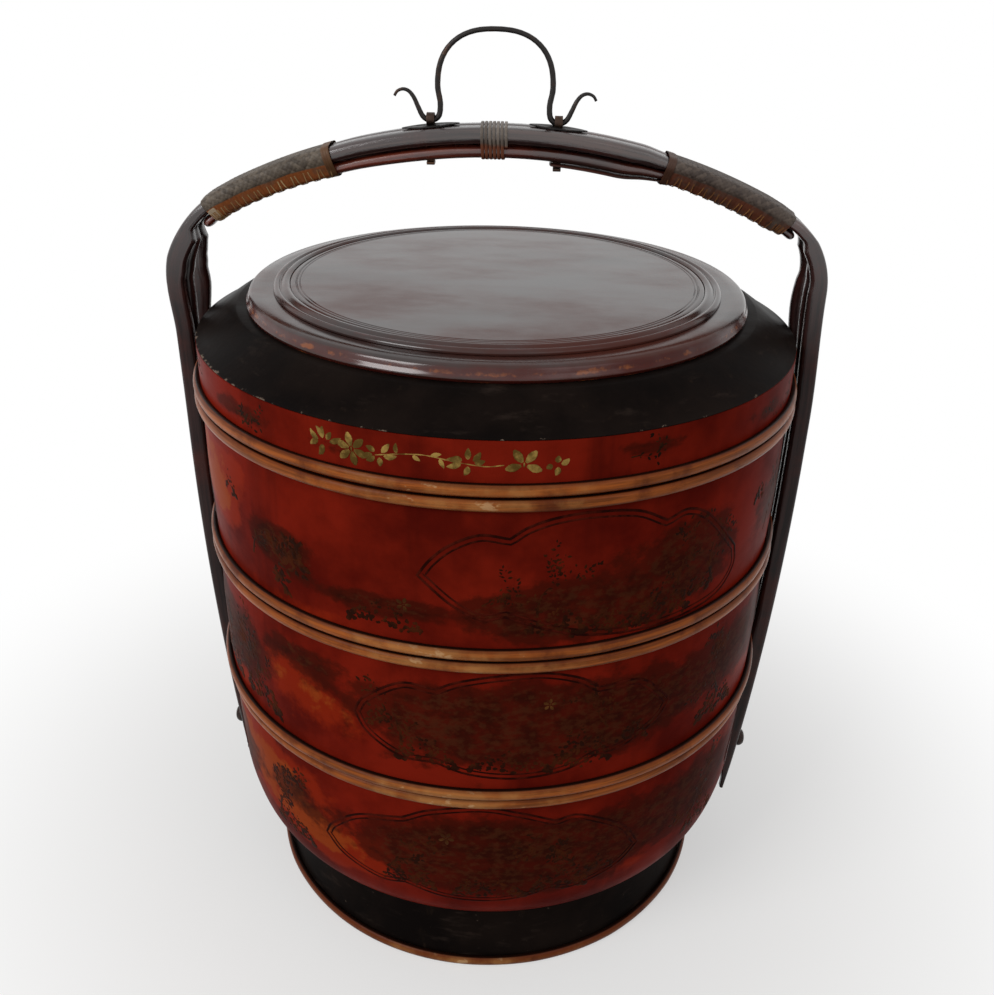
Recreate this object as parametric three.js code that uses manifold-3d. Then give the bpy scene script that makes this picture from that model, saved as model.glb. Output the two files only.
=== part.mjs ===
// Wedding basket: a round food carrier of three lacquered tiers with a lid, carried by a bent bamboo handle
// with an iron bail. Millimetres, +Z up. The origin is the middle of the foot's underside, and X runs along
// the handle, from one pivot peg to the other.

import * as THREE from "three";
import { mergeVertices } from "three/addons/utils/BufferGeometryUtils.js";
import Module from "manifold-3d";

const wasm = await Module();
wasm.setup();

// Play left between pieces that touch, and facets round a turned piece.
const PLAY = 0.35;
const FACETS = 48;
const HIDDEN_FACETS = 40;

// How far a turned facet stands inside its circle, with the taper of a wall.
const FACET_SAG = 0.9;

// The stack: heights of the seams between the tiers, and the outer radius of the wall at each seam.
const BOWL_SEAM = 185.3;
const MIDDLE_SEAM = 289.6;
const UPPER_SEAM = 394.3;
const BOWL_RADIUS = 193.6;
const MIDDLE_RADIUS = 195.2;
const UPPER_RADIUS = 196;
const WALL = 6;
const WALL_SWELL = 0.8;

// Cane hoops round the rims, and the locating collars inside them.
const HOOP_HEIGHT = 7.6;
const HOOP_DEPTH = 4.2;
const HOOP_SET_BACK = 0.5;
const COLLAR_WALL = 4.2;
const COLLAR_STANDS = 8;
const COLLAR_REACHES = 24;

// Boards that floor the tiers.
const BOARD_SET_UP = 10.5;
const BOARD_THICKNESS = 6;

// Bowl and foot.
const BOWL_BELLY_HEIGHT = 112;
const BOWL_LIP_RADIUS = 150;
const BOWL_FLOOR = 52.4;
const FOOT_TOP_RADIUS = 155.6;
const FOOT_BASE_RADIUS = 165.4;
const FOOT_HOOP_RADIUS = 169.8;
const FOOT_HOOP_HEIGHT = 7;

// Lid.
const SKIRT_TOP = 425.8;
const SHOULDER_RADIUS = 195.8;
const SHOULDER_TOP = 443.4;
const RING_RADIUS = 163;
const RING_TOP = 452.8;
const MOULDING_RADIUS = 145.4;
const PANEL_RADIUS = 134.6;
const PANEL_TOP = 456;

// Handle: its outer outline in the XZ plane is a flat arch, a tighter bend at each shoulder, and two uprights
// whose tails lean in. The two shoulders differ, as they are bent by hand.
const ARCH_RADIUS = 395;
const ARCH_CENTRE_HEIGHT = 156.4;
const SHOULDER_BEND = { left: 66, right: 60 };
const SHOULDER_REACH = { left: 218.2, right: 212.4 };
const SHOULDER_STARTS = { left: 412, right: 365 };
const SHOULDER_OVER = { left: 35, right: 85 };

// Where each shoulder is flatter than its bend (at and over are marks, as below), and how far the staves sink
// under the sleeves.
const SHOULDER_FLAT = { left: { at: 1.66, over: 0.42, dip: 1.7 }, right: { at: 1.79, over: 0.27, dip: 1.2 } };
const SLEEVE_SINK = { left: 0.3, right: 1.2 };
const UPRIGHT_REACH = 215.8;
const TAIL_LEAN = 17;
const TAIL_LEAN_FROM = 340;
const TAIL_LEAN_OVER = 290;
const TAIL_END = 34;

// Staves the handle is bent from: three stand in each upright, and two go on over the bar.
const STAVE_WIDTH = 9;
const STAVE_DEPTH = 11.9;
const SHOULDER_DEPTH = { left: 13.4, right: 10.8 };
const NOTCH_DEPTH = { left: 8, right: 7.5 };
const NOTCH_FADES = { left: [1.6, 1.2], right: [2.38, 0.2] };
const BAR_STAVE_WIDTH = 13.4;
const BAR_STAVE_DEPTH = 10.4;
const BAR_CROWN = 0.8;
const CORE_WIDTH = 9;
const STAVES_BOW = { left: { front: 1, rear: 19 }, right: { front: 2, rear: 20 } };
const STAVES_FAN = { left: 5, right: 1 };
const BOW_HEIGHT = 426;
const BOW_SPREAD = 68;

// Marks along the outline: 0 to 1 climbs the upright, 1 to 2 rounds the shoulder, 2 to 3 follows the arch.
const UPRIGHT_MARKS = [0, 0.03, 0.07, 0.12, 0.19, 0.28, 0.39, 0.51, 0.63, 0.74, 0.82, 0.88, 0.93, 0.97];
const SHOULDER_MARKS = [1, 1.18, 1.36, 1.5, 1.6, 1.7, 1.87];
const ARCH_MARKS = [2, 2.14, 2.28, 2.43, 2.52, 2.62, 2.8, 2.93];
const NOTCH_ENDS = 1.6;
const ROD_ENDS = 1.69;
const SLEEVE_ENDS = 1.87;
const SLEEVE_STARTS = 2.43;
const CORE_ENDS = 2.28;

// Share of its depth that a core stave loses where its tongue begins.
const TONGUE_PARED = { left: 0, right: 0.42 };

// Grip rod under the staves, the splint under its right half, the sleeves and the lashing.
const ROD_WIDTH = 19;
const ROD_DEPTH = 9;
const ROD_TAPER = { left: 2.3, right: 3.2 };
const ROD_TAPERS = { left: [2.15, 0.6], right: [2.38, 0.22] };
const SPLINT_WIDTH = 14;
const SPLINT_DEPTH = 2.2;
const SPLINT_TAPER = 1.1;
const SLEEVE_GAP = 0.35;
const SLEEVE_WALL = 0.75;
const LASHING_TURNS = 6.5;
const LASHING_PITCH = 2.46;
const LASHING_STRIP = 1.9;
const LASHING_THICKNESS = 0.7;
const LASHING_GAP = 0.38;
const FITTINGS_SET_LEFT = 4;

// Pivot pegs.
const PEG_HEIGHT = 80;
const PEG_SHANK = 3.1;
const PEG_HEAD = 7;
const PEG_REACH = 209.7;
const PEG_HEAD_THICKNESS = 6.3;

// Iron bail and its eyes, which are straps looped over and driven down through the bar.
const EYE_SPACING = 79;
const EYE_HEIGHT = 553.2;
const EYE_BORE = 2.7;
const EYE_STRAP = 1.2;
const EYE_WIDTH = 5;
const EYE_SHANK = 2.7;
const LEAF_REACH = 18;
const LEAF_HALF_WIDTH = 7.6;
const LEAF_THICKNESS = 0.7;
const BAIL_WIRE = 1.75;
const BAIL_HALF_WIDTH = 35.1;
const BAIL_SHOULDERS = 572.4;
const BAIL_TOP = 606.4;

// Finishes.
const redLacquer = finish(0x7a1f14, 0.35, 0);
const blackLacquer = finish(0x17110f, 0.3, 0);
const brownLacquer = finish(0x2c1512, 0.22, 0);
const cane = finish(0xa8662f, 0.5, 0);
const bareWood = finish(0x8a6a48, 0.7, 0);
const bamboo = finish(0x33201b, 0.35, 0);
const gripWood = finish(0x6b2f1b, 0.4, 0);
const rattan = finish(0x8d5a34, 0.65, 0);
const iron = finish(0x3b3735, 0.55, 0.85);

function finish(color, roughness, metalness) {
  return new THREE.MeshStandardMaterial({ color, roughness, metalness });
}

// One closed body with shared corners and its faces outwards.
function closedBody(geometry) {
  geometry.deleteAttribute("normal");
  geometry.deleteAttribute("uv");
  const merged = mergeVertices(geometry, 1e-3);
  const corners = merged.getIndex().array;
  const place = merged.getAttribute("position");
  const kept = [];
  for (let i = 0; i < corners.length; i += 3) {
    const [a, b, c] = [corners[i], corners[i + 1], corners[i + 2]];
    if (a !== b && b !== c && c !== a) {
      kept.push(a, b, c);
    }
  }
  let volume = 0;
  const [p, q, r] = [new THREE.Vector3(), new THREE.Vector3(), new THREE.Vector3()];
  for (let i = 0; i < kept.length; i += 3) {
    p.fromBufferAttribute(place, kept[i]);
    q.fromBufferAttribute(place, kept[i + 1]);
    r.fromBufferAttribute(place, kept[i + 2]);
    volume += p.dot(q.cross(r));
  }
  if (volume < 0) {
    for (let i = 0; i < kept.length; i += 3) {
      [kept[i + 1], kept[i + 2]] = [kept[i + 2], kept[i + 1]];
    }
  }
  merged.setIndex(kept);
  return merged;
}

function piece(name, geometry, material) {
  const mesh = new THREE.Mesh(closedBody(geometry), material);
  mesh.geometry.computeVertexNormals();
  mesh.name = name;
  return mesh;
}

// A body turned about Z from a profile of [radius, height] points.
function turnedShape(profile, facets = FACETS) {
  const points = profile.map(([radius, height]) => new THREE.Vector2(radius, height));
  const meetsAxis = profile[0][0] === 0 && profile.at(-1)[0] === 0;
  if (!meetsAxis) {
    points.push(points[0].clone());
  }
  const geometry = new THREE.LatheGeometry(points, facets);
  geometry.rotateX(Math.PI / 2);
  return geometry;
}

function turned(name, profile, material, facets = FACETS) {
  return piece(name, turnedShape(profile, facets), material);
}

function toManifold(geometry) {
  const body = closedBody(geometry.clone());
  return new wasm.Manifold(new wasm.Mesh({
    numProp: 3,
    vertProperties: new Float32Array(body.getAttribute("position").array),
    triVerts: new Uint32Array(body.getIndex().array),
  }));
}

// What is left of a body once the cutters are taken out of it.
function cut(geometry, cutters) {
  let body = toManifold(geometry);
  for (const cutter of cutters) {
    body = body.subtract(toManifold(cutter));
  }
  const mesh = body.getMesh();
  const result = new THREE.BufferGeometry();
  result.setAttribute("position", new THREE.BufferAttribute(mesh.vertProperties, 3));
  result.setIndex(new THREE.BufferAttribute(mesh.triVerts, 1));
  return result;
}

// A skin over rings of points: capped at both ends, or joined end to start.
function skinOver(rings, joined = false) {
  const count = rings[0].length;
  const positions = rings.flat().flatMap((point) => [point.x, point.y, point.z]);
  const faces = [];
  const steps = joined ? rings.length : rings.length - 1;
  for (let i = 0; i < steps; i += 1) {
    const here = i * count;
    const next = ((i + 1) % rings.length) * count;
    for (let k = 0; k < count; k += 1) {
      const along = (k + 1) % count;
      faces.push(here + k, next + k, next + along, here + k, next + along, here + along);
    }
  }
  if (!joined) {
    const last = (rings.length - 1) * count;
    for (let k = 1; k < count - 1; k += 1) {
      faces.push(0, k, k + 1);
      faces.push(last, last + k + 1, last + k);
    }
  }
  const geometry = new THREE.BufferGeometry();
  geometry.setAttribute("position", new THREE.Float32BufferAttribute(positions, 3));
  geometry.setIndex(faces);
  return geometry;
}

// A rounded box as [across, outward] corners about a middle.
function roundedBox(width, depth, across, outward, sides = 8, squareness = 0.6) {
  const corners = [];
  for (let k = 0; k < sides; k += 1) {
    const angle = ((k + 0.5) / sides) * 2 * Math.PI;
    const [cos, sin] = [Math.cos(angle), Math.sin(angle)];
    corners.push([
      across + Math.sign(cos) * Math.abs(cos) ** squareness * (width / 2),
      outward + Math.sign(sin) * Math.abs(sin) ** squareness * (depth / 2),
    ]);
  }
  return corners;
}

// The corners of a section set at a station, across along Y and outward along the station's direction.
function placed(station, corners) {
  return corners.map(([across, outward]) => new THREE.Vector3(
    station.x + station.out.x * outward,
    across,
    station.z + station.out.y * outward,
  ));
}

function ease(value) {
  const t = Math.min(1, Math.max(0, value));
  return t * t * (3 - 2 * t);
}

function uprightReach(height, hand) {
  const below = Math.max(0, TAIL_LEAN_FROM - height) / TAIL_LEAN_OVER;
  const above = ease((height - SHOULDER_STARTS[hand]) / SHOULDER_OVER[hand]);
  return UPRIGHT_REACH - TAIL_LEAN * below ** 2 + (SHOULDER_REACH[hand] - UPRIGHT_REACH) * above;
}

// How far the outline stands in from its circles at a mark.
function dipAt(mark, hand) {
  const { at, over, dip } = SHOULDER_FLAT[hand];
  const away = Math.min(1, Math.abs(mark - at) / over);
  const sink = SLEEVE_SINK[hand] * ease((mark - 1.75) / 0.2) * (1 - ease((mark - 2.43) / 0.09));
  return dip * Math.cos((away * Math.PI) / 2) + sink;
}

// The handle's outer outline at a mark, with the direction that points out of it.
function outlinePoint(mark, hand) {
  const sign = hand === "left" ? -1 : 1;
  const bend = SHOULDER_BEND[hand];
  const bendX = SHOULDER_REACH[hand] - bend;
  const rise = Math.sqrt((ARCH_RADIUS - bend) ** 2 - bendX ** 2);
  const bendAngle = Math.atan2(rise, bendX);
  if (mark < 1) {
    const height = TAIL_END + (ARCH_CENTRE_HEIGHT + rise - TAIL_END) * mark;
    const slope = uprightReach(height + 0.5, hand) - uprightReach(height - 0.5, hand);
    const out = new THREE.Vector2(sign, -slope).normalize();
    return { x: sign * uprightReach(height, hand), z: height, out };
  }
  const angle = mark < 2 ? bendAngle * (mark - 1) : bendAngle + (Math.PI / 2 - bendAngle) * (mark - 2);
  const out = new THREE.Vector2(sign * Math.cos(angle), Math.sin(angle));
  const [x, z, circle] = mark < 2 ? [sign * bendX, ARCH_CENTRE_HEIGHT + rise, bend] : [0, ARCH_CENTRE_HEIGHT, ARCH_RADIUS];
  const radius = circle - dipAt(mark, hand);
  return { x: x + radius * out.x, z: z + radius * out.y, out };
}

function marksBetween(from, to) {
  const all = [...UPRIGHT_MARKS, ...SHOULDER_MARKS, ...ARCH_MARKS, 3];
  return all.filter((mark) => mark >= from && mark <= to);
}

// How far the handle has turned from upright into bar at a mark.
function barShare(mark) {
  return ease((mark - 1.1) / 0.9);
}

// Depth of the staves: full on the upright, changed at the shoulder, and notched for the grip rod on the bar.
function depthAt(mark, hand) {
  if (mark >= NOTCH_ENDS) {
    const [from, over] = NOTCH_FADES[hand];
    return NOTCH_DEPTH[hand] + (BAR_STAVE_DEPTH - NOTCH_DEPTH[hand]) * ease((mark - from) / over);
  }
  const tail = 0.25 + 0.75 * ease(mark / 0.11);
  return (STAVE_DEPTH + (SHOULDER_DEPTH[hand] - STAVE_DEPTH) * ease((mark - 0.96) / 0.2)) * tail;
}

function rodDepthAt(mark, hand) {
  const [from, over] = ROD_TAPERS[hand];
  return ROD_DEPTH - ROD_TAPER[hand] * (1 - ease((mark - from) / over));
}

function coreWidthAt(mark) {
  return CORE_WIDTH * (1 - 0.72 * ease((mark - 1.2) / 0.9));
}

// How far a stave bows away from the core stave just above the lid's rim.
function bowAt(height, hand, side) {
  const away = Math.abs(height - BOW_HEIGHT) / BOW_SPREAD;
  const bow = STAVES_BOW[hand][side < 0 ? "front" : "rear"];
  return away < 1 ? bow * Math.cos((away * Math.PI) / 2) ** 2 : 0;
}

// How far the rear stave stands in from the front one where the staves fan out at the shoulder.
function fanAt(height, hand) {
  return STAVES_FAN[hand] * ease((height - 412) / 30) * (1 - ease((height - 466) / 28));
}

// Section of a stave: side is -1 in front and 1 behind.
function staveSection(mark, side, hand) {
  const core = mark > CORE_ENDS + 0.01 ? 0 : coreWidthAt(mark);
  const seam = core > 0 ? core / 2 + PLAY : PLAY;
  const share = barShare(mark);
  const barWidth = BAR_STAVE_WIDTH - (seam - PLAY);
  const tail = 0.7 + 0.3 * ease(mark / 0.09);
  const width = (STAVE_WIDTH + (barWidth - STAVE_WIDTH) * share) * tail;
  const height = outlinePoint(mark, hand).z;
  const depth = depthAt(mark, hand);
  const middle = side * (seam + width / 2 + bowAt(height, hand, side));
  const inward = side > 0 ? fanAt(height, hand) : 0;
  return roundedBox(width, depth, middle, -depth / 2 - inward).map(([across, outward]) => {
    const upper = outward > -depth / 2 - inward ? 1 : 0;
    return [across, outward - upper * BAR_CROWN * share * (across / 14) ** 2];
  });
}

function staveShape(side) {
  const up = marksBetween(0, 3).map((mark) => placed(outlinePoint(mark, "right"), staveSection(mark, side, "right")));
  const down = marksBetween(0, 2.99).reverse().map((mark) => (
    placed(outlinePoint(mark, "left"), staveSection(mark, side, "left"))));
  return skinOver([...up, ...down]);
}

// Core stave of one side: from the tail up between the others, ending as a tongue in the seam of the bar.
function coreShape(hand) {
  return skinOver(marksBetween(0.03, CORE_ENDS).map((mark) => {
    const station = outlinePoint(mark, hand);
    const pared = 1 - TONGUE_PARED[hand] * ease((mark - 1.15) / 0.4);
    const depth = (depthAt(mark, hand) - 1.2 * barShare(mark)) * pared;
    const width = coreWidthAt(mark) * (0.75 + 0.25 * ease(mark / 0.09));
    const inward = 0.3 * barShare(mark) + fanAt(station.z, hand) / 2;
    return placed(station, roundedBox(width, depth, 0, -depth / 2 - inward));
  }));
}

function rodSection(mark, hand, scale = 1) {
  const depth = rodDepthAt(mark, hand);
  return roundedBox(ROD_WIDTH * scale, depth * scale, 0, -depthAt(mark, hand) - PLAY - depth / 2, 8, 0.8);
}

function splintSection(mark, scale = 1) {
  const depth = SPLINT_DEPTH - SPLINT_TAPER * (1 - ease((mark - 2.38) / 0.22));
  const middle = -depthAt(mark, "right") - 2 * PLAY - 0.1 - rodDepthAt(mark, "right") - depth / 2;
  return roundedBox(SPLINT_WIDTH * scale, depth * scale, 0, middle, 8, 0.7);
}

function gripRodShape() {
  const half = (hand) => {
    const ring = (mark, scale = 1) => placed(outlinePoint(mark, hand), rodSection(mark, hand, scale));
    return [
      ring(ROD_ENDS, 0.5),
      ring(ROD_ENDS + 0.03, 0.78),
      ...marksBetween(ROD_ENDS + 0.1, 2.99).map((mark) => ring(mark)),
    ];
  };
  const crown = placed(outlinePoint(3, "right"), rodSection(3, "right"));
  return skinOver([...half("right"), crown, ...half("left").reverse()]);
}

function splintShape() {
  const from = 2.826;
  const ring = (mark, scale = 1) => placed(outlinePoint(mark, "right"), splintSection(mark, scale));
  return skinOver([
    ring(from, 0.6),
    ring(from - 0.012),
    ...marksBetween(2, 2.6).reverse().map((mark) => ring(mark)),
  ]);
}

// A taut wrapping round sections: the polygon of the lines that touch them, moved out by a margin.
function wrapped(sections, margin, sides) {
  const corners = sections.flat();
  const touching = (k) => {
    const angle = ((k + 0.5) / sides) * 2 * Math.PI;
    const [cos, sin] = [Math.cos(angle), Math.sin(angle)];
    return [cos, sin, margin + Math.max(...corners.map((corner) => corner[0] * cos + corner[1] * sin))];
  };
  const ring = [];
  for (let k = 0; k < sides; k += 1) {
    const [a, b, p] = touching(k);
    const [c, d, q] = touching(k + 1);
    const across = a * d - b * c;
    ring.push([(p * d - q * b) / across, (a * q - c * p) / across]);
  }
  return ring;
}

function barSections(mark, hand) {
  const sections = [staveSection(mark, -1, hand), staveSection(mark, 1, hand), rodSection(mark, hand)];
  return hand === "right" && mark >= 2 && mark < 2.8 ? [...sections, splintSection(mark)] : sections;
}

function sleeveShape(hand) {
  const marks = marksBetween(SLEEVE_ENDS, SLEEVE_STARTS);
  const skin = (wall) => marks.map((mark) => {
    const thinned = mark === SLEEVE_ENDS ? wall / 2 : wall;
    return placed(outlinePoint(mark, hand), wrapped(barSections(mark, hand), SLEEVE_GAP + thinned, 14));
  });
  return skinOver([...skin(SLEEVE_WALL), ...skin(0).reverse()], true);
}

// The lashing is one strip wound round the bar, whose turns lie side by side.
function lashingShape() {
  const steps = 24;
  const inner = wrapped(barSections(3, "left"), LASHING_GAP, steps);
  const outer = wrapped(barSections(3, "left"), LASHING_GAP + LASHING_THICKNESS, steps);
  const start = -FITTINGS_SET_LEFT - (LASHING_TURNS * LASHING_PITCH) / 2;
  const rings = [];
  for (let i = 0; i <= LASHING_TURNS * steps; i += 1) {
    const x = start + (i / steps) * LASHING_PITCH;
    const [low, high] = [inner[i % steps], outer[i % steps]];
    rings.push([[-1, low], [1, low], [1, high], [-1, high]].map(([side, [across, outward]]) => new THREE.Vector3(
      x + (side * LASHING_STRIP) / 2,
      across,
      ARCH_CENTRE_HEIGHT + Math.sqrt(ARCH_RADIUS ** 2 - x ** 2) + outward,
    )));
  }
  let least = Infinity;
  for (let i = 0; i < rings.length; i += 1) {
    for (let j = i + steps / 2; j < rings.length; j += 1) {
      for (const a of rings[i]) {
        for (const b of rings[j]) {
          least = Math.min(least, a.distanceTo(b));
        }
      }
    }
  }
  console.log(`centre_lashing: least gap between its turns ${least.toFixed(2)} mm`);
  return skinOver(rings);
}

// Foot, bowl and tiers.
function hoop(name, radius, low) {
  const inner = radius + PLAY;
  const outer = inner + HOOP_DEPTH;
  const high = low + HOOP_HEIGHT;
  const round = 1.6;
  return turned(name, [
    [inner, low],
    [outer - round, low],
    [outer, low + round],
    [outer, high - round],
    [outer - round, high],
    [inner, high],
  ], cane);
}

function board(name, radius, low, thickness) {
  return turned(name, [[0, low], [radius, low], [radius, low + thickness], [0, low + thickness]],
    bareWood, HIDDEN_FACETS);
}

function collar(name, radius, seam) {
  const outer = radius - WALL - PLAY - FACET_SAG;
  return turned(name, [
    [outer - COLLAR_WALL, seam - COLLAR_REACHES],
    [outer, seam - COLLAR_REACHES],
    [outer, seam + COLLAR_STANDS - 1.5],
    [outer - 1.5, seam + COLLAR_STANDS],
    [outer - COLLAR_WALL, seam + COLLAR_STANDS],
  ], redLacquer, HIDDEN_FACETS);
}

function tier(prefix, lowSeam, lowRadius, highSeam, highRadius) {
  const low = lowSeam + PLAY / 2;
  const high = highSeam - PLAY / 2;
  const middleRadius = (lowRadius + highRadius) / 2 + WALL_SWELL;
  const middle = (low + high) / 2;
  const wall = turned(`${prefix}_wall`, [
    [lowRadius - WALL, low],
    [lowRadius, low],
    [lowRadius, low + HOOP_HEIGHT + HOOP_SET_BACK],
    [middleRadius, middle],
    [highRadius, high - HOOP_HEIGHT - HOOP_SET_BACK],
    [highRadius, high],
    [highRadius - WALL, high],
  ], redLacquer);
  return [
    wall,
    hoop(`${prefix}_bottom_hoop`, lowRadius, lowSeam + HOOP_SET_BACK),
    hoop(`${prefix}_top_hoop`, highRadius, highSeam - HOOP_SET_BACK - HOOP_HEIGHT),
    board(`${prefix}_board`, lowRadius - WALL - PLAY - FACET_SAG, lowSeam + BOARD_SET_UP, BOARD_THICKNESS),
    collar(`${prefix}_collar`, highRadius, highSeam),
  ];
}

function pegShaft(radius, from, to) {
  const shaft = new THREE.CylinderGeometry(radius, radius, to - from, 12);
  shaft.rotateZ(Math.PI / 2);
  shaft.translate((from + to) / 2, 0, PEG_HEIGHT);
  return shaft;
}

function bowl() {
  const high = BOWL_SEAM - PLAY / 2;
  const outside = [
    [BOWL_RADIUS, high],
    [BOWL_RADIUS + 0.6, 150],
    [192.8, BOWL_BELLY_HEIGHT],
    [189.8, 91],
    [185, 76],
    [176.4, 65],
    [165, 56.5],
    [156, BOWL_FLOOR],
    [BOWL_LIP_RADIUS, BOWL_FLOOR],
  ];
  const inside = [
    [BOWL_LIP_RADIUS, BOWL_FLOOR + WALL],
    [161, 61],
    [170, 69],
    [178, 80],
    [186.2, BOWL_BELLY_HEIGHT],
    [BOWL_RADIUS - WALL, 150],
    [BOWL_RADIUS - WALL, high],
  ];
  const holes = [pegShaft(PEG_SHANK + PLAY, 165, 200), pegShaft(PEG_SHANK + PLAY, -200, -165)];
  return [
    piece("bowl_wall", cut(turnedShape([...outside, ...inside]), holes), redLacquer),
    hoop("bowl_rim_hoop", BOWL_RADIUS, BOWL_SEAM - HOOP_SET_BACK - HOOP_HEIGHT),
    board("bowl_board", BOWL_LIP_RADIUS - PLAY - FACET_SAG, BOWL_FLOOR, WALL),
    collar("bowl_collar", BOWL_RADIUS, BOWL_SEAM),
  ];
}

function foot() {
  const top = BOWL_FLOOR - PLAY;
  return [
    turned("foot_ring", [
      [FOOT_BASE_RADIUS - 7.4, 0],
      [FOOT_BASE_RADIUS, 0],
      [FOOT_BASE_RADIUS - 0.4, 8],
      [FOOT_BASE_RADIUS - 4.2, 24],
      [FOOT_TOP_RADIUS + 1.4, 42],
      [FOOT_TOP_RADIUS, top],
      [FOOT_TOP_RADIUS - 9, top],
    ], blackLacquer),
    turned("foot_hoop", [
      [FOOT_BASE_RADIUS + PLAY + 0.1, 0.2],
      [FOOT_HOOP_RADIUS - 1.4, 0.2],
      [FOOT_HOOP_RADIUS, 1.8],
      [FOOT_HOOP_RADIUS, FOOT_HOOP_HEIGHT - 2.2],
      [FOOT_HOOP_RADIUS - 1.8, FOOT_HOOP_HEIGHT],
      [FOOT_BASE_RADIUS + PLAY + 0.1, FOOT_HOOP_HEIGHT],
    ], cane),
  ];
}

function lid() {
  const ringLow = SHOULDER_TOP + PLAY;
  const ledge = RING_TOP - 3.4;
  const mouldingLow = RING_TOP + PLAY;
  return [
    turned("lid_skirt", [
      [UPPER_RADIUS - WALL, UPPER_SEAM + PLAY / 2],
      [UPPER_RADIUS, UPPER_SEAM + PLAY / 2],
      [UPPER_RADIUS, SKIRT_TOP],
      [UPPER_RADIUS - WALL, SKIRT_TOP],
    ], redLacquer),
    hoop("lid_rim_hoop", UPPER_RADIUS, UPPER_SEAM + HOOP_SET_BACK),
    turned("lid_shoulder", [
      [150, SHOULDER_TOP - 6],
      [150, SHOULDER_TOP],
      [168.8, SHOULDER_TOP],
      [174.7, SHOULDER_TOP - 3.6],
      [186.6, 431.8],
      [191.8, 428.4],
      [SHOULDER_RADIUS - 1, 426.9],
      [SHOULDER_RADIUS, SKIRT_TOP + PLAY],
      [189.6, SKIRT_TOP + PLAY],
      [172, SHOULDER_TOP - 6],
    ], blackLacquer),
    turned("lid_ring", [
      [124, ringLow],
      [RING_RADIUS - 1, ringLow],
      [RING_RADIUS, ringLow + 2],
      [RING_RADIUS - 1.4, ringLow + 4.4],
      [RING_RADIUS - 1.6, ringLow + 6],
      [RING_RADIUS - 2.4, RING_TOP - 1.2],
      [RING_RADIUS - 4.3, RING_TOP],
      [PANEL_RADIUS + PLAY, RING_TOP],
      [PANEL_RADIUS + PLAY, ledge],
      [124, ledge],
    ], brownLacquer),
    turned("lid_moulding", [
      [PANEL_RADIUS + PLAY, mouldingLow],
      [MOULDING_RADIUS, mouldingLow],
      [MOULDING_RADIUS, mouldingLow + 1.6],
      [MOULDING_RADIUS - 1.8, mouldingLow + 3.2],
      [MOULDING_RADIUS - 4.2, mouldingLow + 2.2],
      [PANEL_RADIUS + PLAY + 2.4, mouldingLow + 3.8],
      [PANEL_RADIUS + PLAY, mouldingLow + 2.6],
    ], brownLacquer),
    turned("lid_panel", [
      [0, ledge + PLAY],
      [PANEL_RADIUS, ledge + PLAY],
      [PANEL_RADIUS, PANEL_TOP - 0.6],
      [PANEL_RADIUS - 2, PANEL_TOP],
      [0, PANEL_TOP],
    ], brownLacquer),
  ];
}

function peg(name, hand) {
  const profile = [
    [0, 168],
    [5.2, 168],
    [5.2, 171],
    [PEG_SHANK, 171],
    [PEG_SHANK, PEG_REACH - PEG_HEAD_THICKNESS],
    [PEG_HEAD, PEG_REACH - PEG_HEAD_THICKNESS],
    [PEG_HEAD, PEG_REACH - 4],
    [PEG_HEAD * 0.72, PEG_REACH - 1.2],
    [0, PEG_REACH],
  ];
  const geometry = turnedShape(profile, 14);
  geometry.rotateY((hand * Math.PI) / 2);
  geometry.translate(0, 0, PEG_HEIGHT);
  return piece(name, geometry, bamboo);
}

function eyePlace(hand) {
  return (hand * EYE_SPACING) / 2 - FITTINGS_SET_LEFT;
}

// Slots for the shanks of the two iron eyes.
function shankSlots() {
  return [-1, 1].map((hand) => {
    const slot = new THREE.BoxGeometry(EYE_WIDTH + 2 * PLAY, EYE_SHANK + 2 * PLAY, 60);
    slot.translate(eyePlace(hand), 0, EYE_HEIGHT - 24);
    return slot;
  });
}

// An eye is a strap looped round the bail and driven through the bar, with its two legs turned out below.
function eye(name, hand) {
  const rim = EYE_BORE + EYE_STRAP;
  const half = EYE_SHANK / 2;
  const clinch = hand > 0 ? -26.6 : -24.7;
  const outline = new THREE.Shape();
  const start = -Math.PI / 2 + Math.asin(half / rim);
  outline.absarc(0, 0, rim, start, start + 2 * Math.PI - 2 * Math.asin(half / rim), false);
  outline.lineTo(-half, clinch);
  outline.lineTo(-half - 2.4, clinch - 0.4);
  outline.lineTo(-half - 1.6, clinch - 2.2);
  outline.lineTo(half + 1.6, clinch - 2.2);
  outline.lineTo(half + 2.4, clinch - 0.4);
  outline.lineTo(half, clinch);
  outline.closePath();
  const bore = new THREE.Path();
  bore.absarc(0, 0, EYE_BORE, 0, 2 * Math.PI, true);
  outline.holes.push(bore);
  const geometry = new THREE.ExtrudeGeometry(outline, { depth: EYE_WIDTH, bevelEnabled: false, curveSegments: 9 });
  geometry.translate(0, 0, -EYE_WIDTH / 2);
  geometry.rotateX(Math.PI / 2);
  geometry.rotateZ(Math.PI / 2);
  geometry.translate(eyePlace(hand), 0, EYE_HEIGHT);
  return piece(name, geometry, iron);
}

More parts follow.
